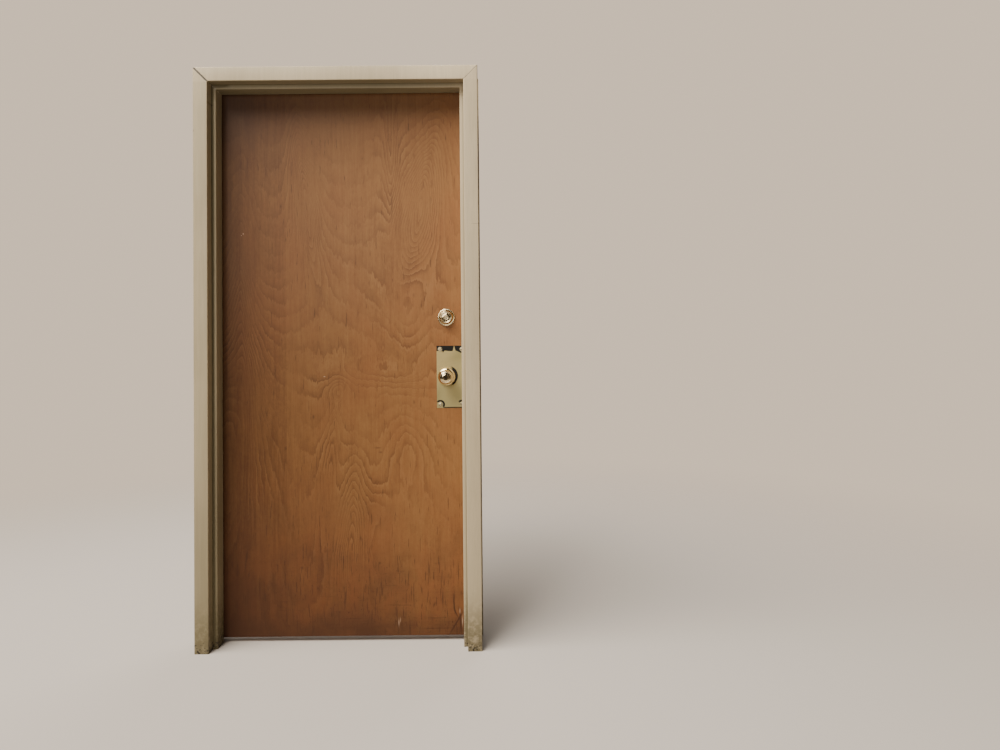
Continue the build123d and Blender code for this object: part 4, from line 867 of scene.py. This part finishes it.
def foldedJamb(name, node, sign, gap, cuts):
    # A section point keeps its distance into the wall and through it, and its height is the level. Level None
    # is the mitre: height = opening + distance into the wall, less the cut.
    def place(side, level):
        top = frameSizes["opening"] + side[:, 0] - mitreCut(gap)
        height = top if level is None else np.full(len(side), level)
        return np.stack([sign * (frameSizes["halfOpening"] + side[:, 0]), side[:, 1], height], axis=1)

    def nearest(u, y):
        return int(np.argmin(np.hypot(section[0][:, 0] - u, section[0][:, 1] - y)))

    section = frameSection(sorted({edge for cut in cuts for edge in cut[:2] if edge is not None}))
    heights = sorted({0.0, *(middle + way * half for start, end, middle, half in cuts for way in (-1, 1))})
    roundBend = nearest(frameSizes["bendReach"], frameSizes["halfDepth"])
    spans = [
        (
            nearest(0.0, start), roundBend if end is None else nearest(0.0, end),
            heights.index(middle - half), heights.index(middle + half),
        )
        for start, end, middle, half in cuts
    ]
    foldedMember(name, node, section, [*heights, None], place, spans)


hingeGap, strikeGap = frameSizes["hingeGap"], frameSizes["strikeGap"]
foldedJamb("hinge_jamb_sheet", "hinge_jamb", -1.0, hingeGap, jambCuts["hinge"])
foldedJamb("strike_jamb_sheet", "strike_jamb", 1.0, strikeGap, jambCuts["strike"])
headEnds = [(-1.0, hingeGap), (1.0, strikeGap)]
foldedMember("frame_head_sheet", "frame_head", frameSection(), headEnds, headPlace)
print("frame folded")

# Knobs: radius and height from the mounting face, and for the bore and the holes radius and depth
knobSetup = {
    "nearFace": 0.024625, "farFace": 0.070675, "bore": (0.0095, 0.014), "neck": 0.014, "neckStart": 0.0026,
    "neckEnd": 0.0093, "neckBevel": 0.0004, "back": (0.0205, 0.0267), "belly": (0.027, 0.0422),
    "face": (0.02, 0.058), "projection": 0.062, "grooveRadius": 0.0172, "grooveWidth": 0.0006,
    "grooveDepth": 0.0005, "outerHole": (0.01055, 0.018), "innerHole": (0.0073, 0.012),
}
outward, inward = (0.0, -1.0, 0.0), (0.0, 1.0, 0.0)
knobNear = ((locks["x"], knobSetup["nearFace"], locks["knobZ"]), outward)
knobFar = ((locks["x"], knobSetup["farFace"], locks["knobZ"]), inward)


def capProfile(edgeRadius, edgeHeight, topHeight, holeRadius, steps):
    # Spherical cap from its edge in to the hole: height = top - sphere + root of (sphere^2 - radius^2)
    rise = topHeight - edgeHeight
    sphere = (edgeRadius**2 + rise**2) / (2 * rise)
    radii = np.linspace(edgeRadius, holeRadius, steps)
    return np.stack([radii, topHeight - sphere + np.sqrt(sphere**2 - radii**2)], axis=1)


def knobProfile(holeRadius, holeDepth):
    # Straight neck, flare of radius = neck + flare * (1 - cos) and height = neck end + flare * sin, belly,
    # crowned face less a groove of exp(-((radius - middle) / width) squared), and a bore in the face
    k = knobSetup
    neckEnd = np.array([k["neck"], k["neckEnd"]])
    chord = np.array(k["back"]) - neckEnd
    flareRadius = chord @ chord / (2 * chord[0])
    flareAngle = 2 * np.arctan2(chord[0], chord[1])
    turnAngle = np.linspace(0.0, flareAngle, 18)
    flare = neckEnd + flareRadius * np.stack([1 - np.cos(turnAngle), np.sin(turnAngle)], axis=1)
    belly = arcPoints(k["back"], k["belly"], k["face"], 48)[1:]
    face = capProfile(*k["face"], k["projection"], holeRadius, 40)[1:]
    face[:, 1] -= np.exp(-(((face[:, 0] - k["grooveRadius"]) / k["grooveWidth"]) ** 2)) * k["grooveDepth"]
    boreRadius, boreDepth = k["bore"]
    neckStart, bevel = k["neckStart"], k["neckBevel"]
    inside = [[0.0, neckStart + boreDepth], [boreRadius, neckStart + boreDepth]]
    start = [[boreRadius, neckStart], [k["neck"] - bevel, neckStart], [k["neck"], neckStart + bevel]]
    end = [[holeRadius, face[-1, 1] - holeDepth], [0.0, face[-1, 1] - holeDepth]]
    return np.concatenate([inside, start, flare, belly, face, end])


for name, node, hole, seat in (
    ("outer_knob_shell", "outer_knob", knobSetup["outerHole"], knobNear),
    ("inner_knob_shell", "inner_knob", knobSetup["innerHole"], knobFar),
):
    turnedPiece(name, node, [knobProfile(*hole)], seat, "knob_set", "polished_brass")

# Roses: outer radius, height, hole and sheet, and the powers of the dome
roseSetup = {
    "knob": (0.0325, 0.009, 0.0143, 0.0016), "deadbolt": (0.03175, 0.007, 0.0063, 0.0016),
    "powers": (0.8, 0.92),
}


def roseProfile(radius, height, hole, sheet):
    # Pressed dome: hole + width * cos(t)^power out and height * sin(t)^power up, then a rolled lip at the
    # hole, and back inside the sheet
    t = np.linspace(0.0, pi / 2, 40)
    across, up = (wave**power for wave, power in zip((np.cos(t), np.sin(t)), roseSetup["powers"]))
    shoulder = np.stack([hole + (radius - hole) * across, height * up], axis=1)
    lip = [[hole - 0.0002, height - 0.0003], [hole - 0.0002, height - sheet]]
    inner = np.stack([hole + (radius - sheet - hole) * across[::-1], (height - sheet) * up[::-1]], axis=1)
    return np.concatenate([shoulder, lip, inner])


for node, seat in (("outer_rose", knobNear), ("inner_rose", knobFar)):
    turnedPiece(node + "_shell", node, [roseProfile(*roseSetup["knob"])], seat, "door", "polished_brass")

# Key cylinder of the outer knob, and the key plugs: width, height and depth of the keyway, bevel of the rim,
# and depth and width of the keyway's own bevel
cylinderSetup = {
    "front": 0.0628, "back": 0.0388, "radius": 0.0105, "bevel": (0.0006, 0.0005), "seam": 0.012,
    "plugHole": 0.00655, "plugHoleDepth": 0.0225, "plugRadius": 0.0065, "plugLength": 0.022,
}
plugSetup = {"keyway": (0.0018, 0.0084, 0.01), "bevel": 0.0004, "keywayBevel": (0.0003, 0.00025)}


def plugProfile(radius, front, back):
    # Front disc round a keyway. The keyway's edge at angle t is where the ray at t meets a rounded slot:
    # 1 / ((|cos t| / half width)^6 + (|sin t| / half height)^6)^(1/6)
    (width, height, depth), bevel, lip = plugSetup["keyway"], plugSetup["bevel"], plugSetup["keywayBevel"]
    t = np.linspace(0.0, 2.0 * pi, meshSetup["around"], endpoint=False)
    slot = ((np.abs(np.cos(t)) / (width / 2)) ** 6 + (np.abs(np.sin(t)) / (height / 2)) ** 6) ** (-1 / 6)
    return [
        (0.0, front - depth), (slot * 0.96, front - depth), (slot, front - lip[0]), (slot + lip[1], front),
        (radius - bevel, front), (radius, front - bevel), (radius, back), (0.0, back),
    ]


def cylinderProfile():
    # Bored barrel: side of the hole, flat front, bevelled rim, straight side, back, and up inside the hole
    c = cylinderSetup
    front, back, radius, hole = c["front"], c["back"], c["radius"], c["plugHole"]
    middle, holeEnd = front - c["seam"], front - c["plugHoleDepth"]
    return [
        (hole, middle), (hole, front - 0.0003), (hole + 0.0003, front), (radius - c["bevel"][0], front),
        (radius, front - c["bevel"][1]), (radius, back), (0.0, back), (0.0, holeEnd), (hole, holeEnd),
        (hole, middle),
    ]


barrel = [cylinderProfile()]
turnedPiece("knob_cylinder_barrel", "knob_cylinder", barrel, knobNear, "knob_set", "cylinder_brass")
plugFront = cylinderSetup["front"]
knobPlug = plugProfile(cylinderSetup["plugRadius"], plugFront, plugFront - cylinderSetup["plugLength"])
turnedPiece("knob_plug_turning", "knob_key_plug", [knobPlug], knobNear, "knob_plug", "cylinder_brass")
print("knobs and roses turned")

# Grips: share of the height that is the side, taper of the side, inset of the rounded top
gripSetup = {"side": 0.82, "taper": 0.04, "topInset": 0.45}


def stadium(halfLength, halfWidth):
    # Distance to the edge of a slot with round ends at each angle, the long way up: half width / cos along
    # its sides, and offset * sin + root of (half width^2 - (offset * cos)^2) at its ends
    t = np.linspace(0.0, 2.0 * pi, meshSetup["around"], endpoint=False)
    across, up = np.abs(np.cos(t)), np.abs(np.sin(t))
    offset = halfLength - halfWidth
    flat = halfWidth / np.maximum(across, 1e-9)
    roundEnd = offset * up + np.sqrt(np.maximum(halfWidth**2 - (offset * across) ** 2, 0.0))
    return np.where(flat * up <= offset, flat, roundEnd)


def gripProfile(halfLength, halfWidth, low, high, waist):
    # Stadium outline, pinched in width by waist * sin(pi * share) up the side and rounded over at the top
    side, taper = gripSetup["side"], gripSetup["taper"]
    loops = []
    for share in np.linspace(0.0, 1.0, 10):
        outline = stadium(halfLength * (1 - taper * share), halfWidth * (1.0 - waist * np.sin(pi * share)))
        loops.append((outline, low + (high - low) * side * share))
    for angle in np.linspace(0.15, pi / 2, 8):
        inset = halfWidth * gripSetup["topInset"] * (1 - np.cos(angle))
        outline = stadium(halfLength * (1 - taper) - inset, halfWidth - inset)
        loops.append((outline, low + (high - low) * (side + (1 - side) * np.sin(angle))))
    return [(0.0, low), *loops, (0.0, high)]


# Turn button: radius and height of each corner of its stem, then the grip's half length, half width, low and
# high end, and waist
turnButton = {
    "stem": [
        (0.0, 0.046), (0.0066, 0.046), (0.007, 0.0464), (0.007, 0.0622), (0.0064, 0.0628), (0.0, 0.0628),
    ],
    "grip": (0.0063, 0.002, 0.0615, 0.069, 0.0),
}
button = [turnButton["stem"], gripProfile(*turnButton["grip"])]
turnedPiece("turn_button_shape", "turn_button", button, knobFar, "lock_button", "polished_brass")

# Deadbolt trim: radius, height and fillet of each corner of the collar and the cylinder, the plug's radius,
# front and back, and the thumb turn as the turn button
boltTrim = {
    "nearFace": 0.025425, "farFace": 0.069875,
    "collar": [
        (0.0177, 0.0, 0.0), (0.03175, 0.0, 0.0), (0.03175, 0.004, 0.0019), (0.0274, 0.004, 0.0012),
        (0.0268, 0.0026, 0.0004), (0.0262, 0.0052, 0.0006), (0.0211, 0.018, 0.0017), (0.0177, 0.018, 0.0016),
        (0.0177, 0.0, 0.0),
    ],
    "cylinder": [
        (0.00735, -0.0096, 0.0), (0.00735, 0.0164, 0.0004), (0.0094, 0.0164, 0.0003), (0.01, 0.0158, 0.0003),
        (0.0146, 0.0152, 0.0004), (0.0152, 0.0164, 0.0003), (0.0173, 0.0164, 0.0008), (0.0173, -0.0096, 0.0),
        (0.00735, -0.0096, 0.0),
    ],
    "plug": (0.0073, 0.0174, -0.0096),
    "stem": [
        (0.0, -0.0025), (0.006, -0.0025), (0.006, 0.0073), (0.0114, 0.0073), (0.012, 0.0078),
        (0.012, 0.0098), (0.0116, 0.0102), (0.0, 0.0103),
    ],
    "grip": (0.021, 0.005, 0.0098, 0.0263, 0.18),
}
boltNear = ((locks["x"], boltTrim["nearFace"], locks["boltZ"]), outward)
boltFar = ((locks["x"], boltTrim["farFace"], locks["boltZ"]), inward)
collar = [filletPath(boltTrim["collar"], 8)[0]]
barrel = [filletPath(boltTrim["cylinder"], 5)[0]]
plug = [plugProfile(*boltTrim["plug"])]
rose = [roseProfile(*roseSetup["deadbolt"])]
thumbTurn = [boltTrim["stem"], gripProfile(*boltTrim["grip"])]
darkBrass = finishes["cylinder_brass"]
turnedPiece("deadbolt_collar_shell", "deadbolt_collar", collar, boltNear, "door", "polished_brass", darkBrass)
turnedPiece("deadbolt_cylinder_barrel", "deadbolt_cylinder", barrel, boltNear, "door", "cylinder_brass")
turnedPiece("deadbolt_plug_turning", "deadbolt_key_plug", plug, boltNear, "deadbolt_plug", "cylinder_brass")
turnedPiece("deadbolt_rose_shell", "deadbolt_rose", rose, boltFar, "door", "polished_brass")
turnedPiece("thumb_turn_shape", "thumb_turn", thumbTurn, boltFar, "thumb_turn", "polished_brass")
print("deadbolt trim turned")
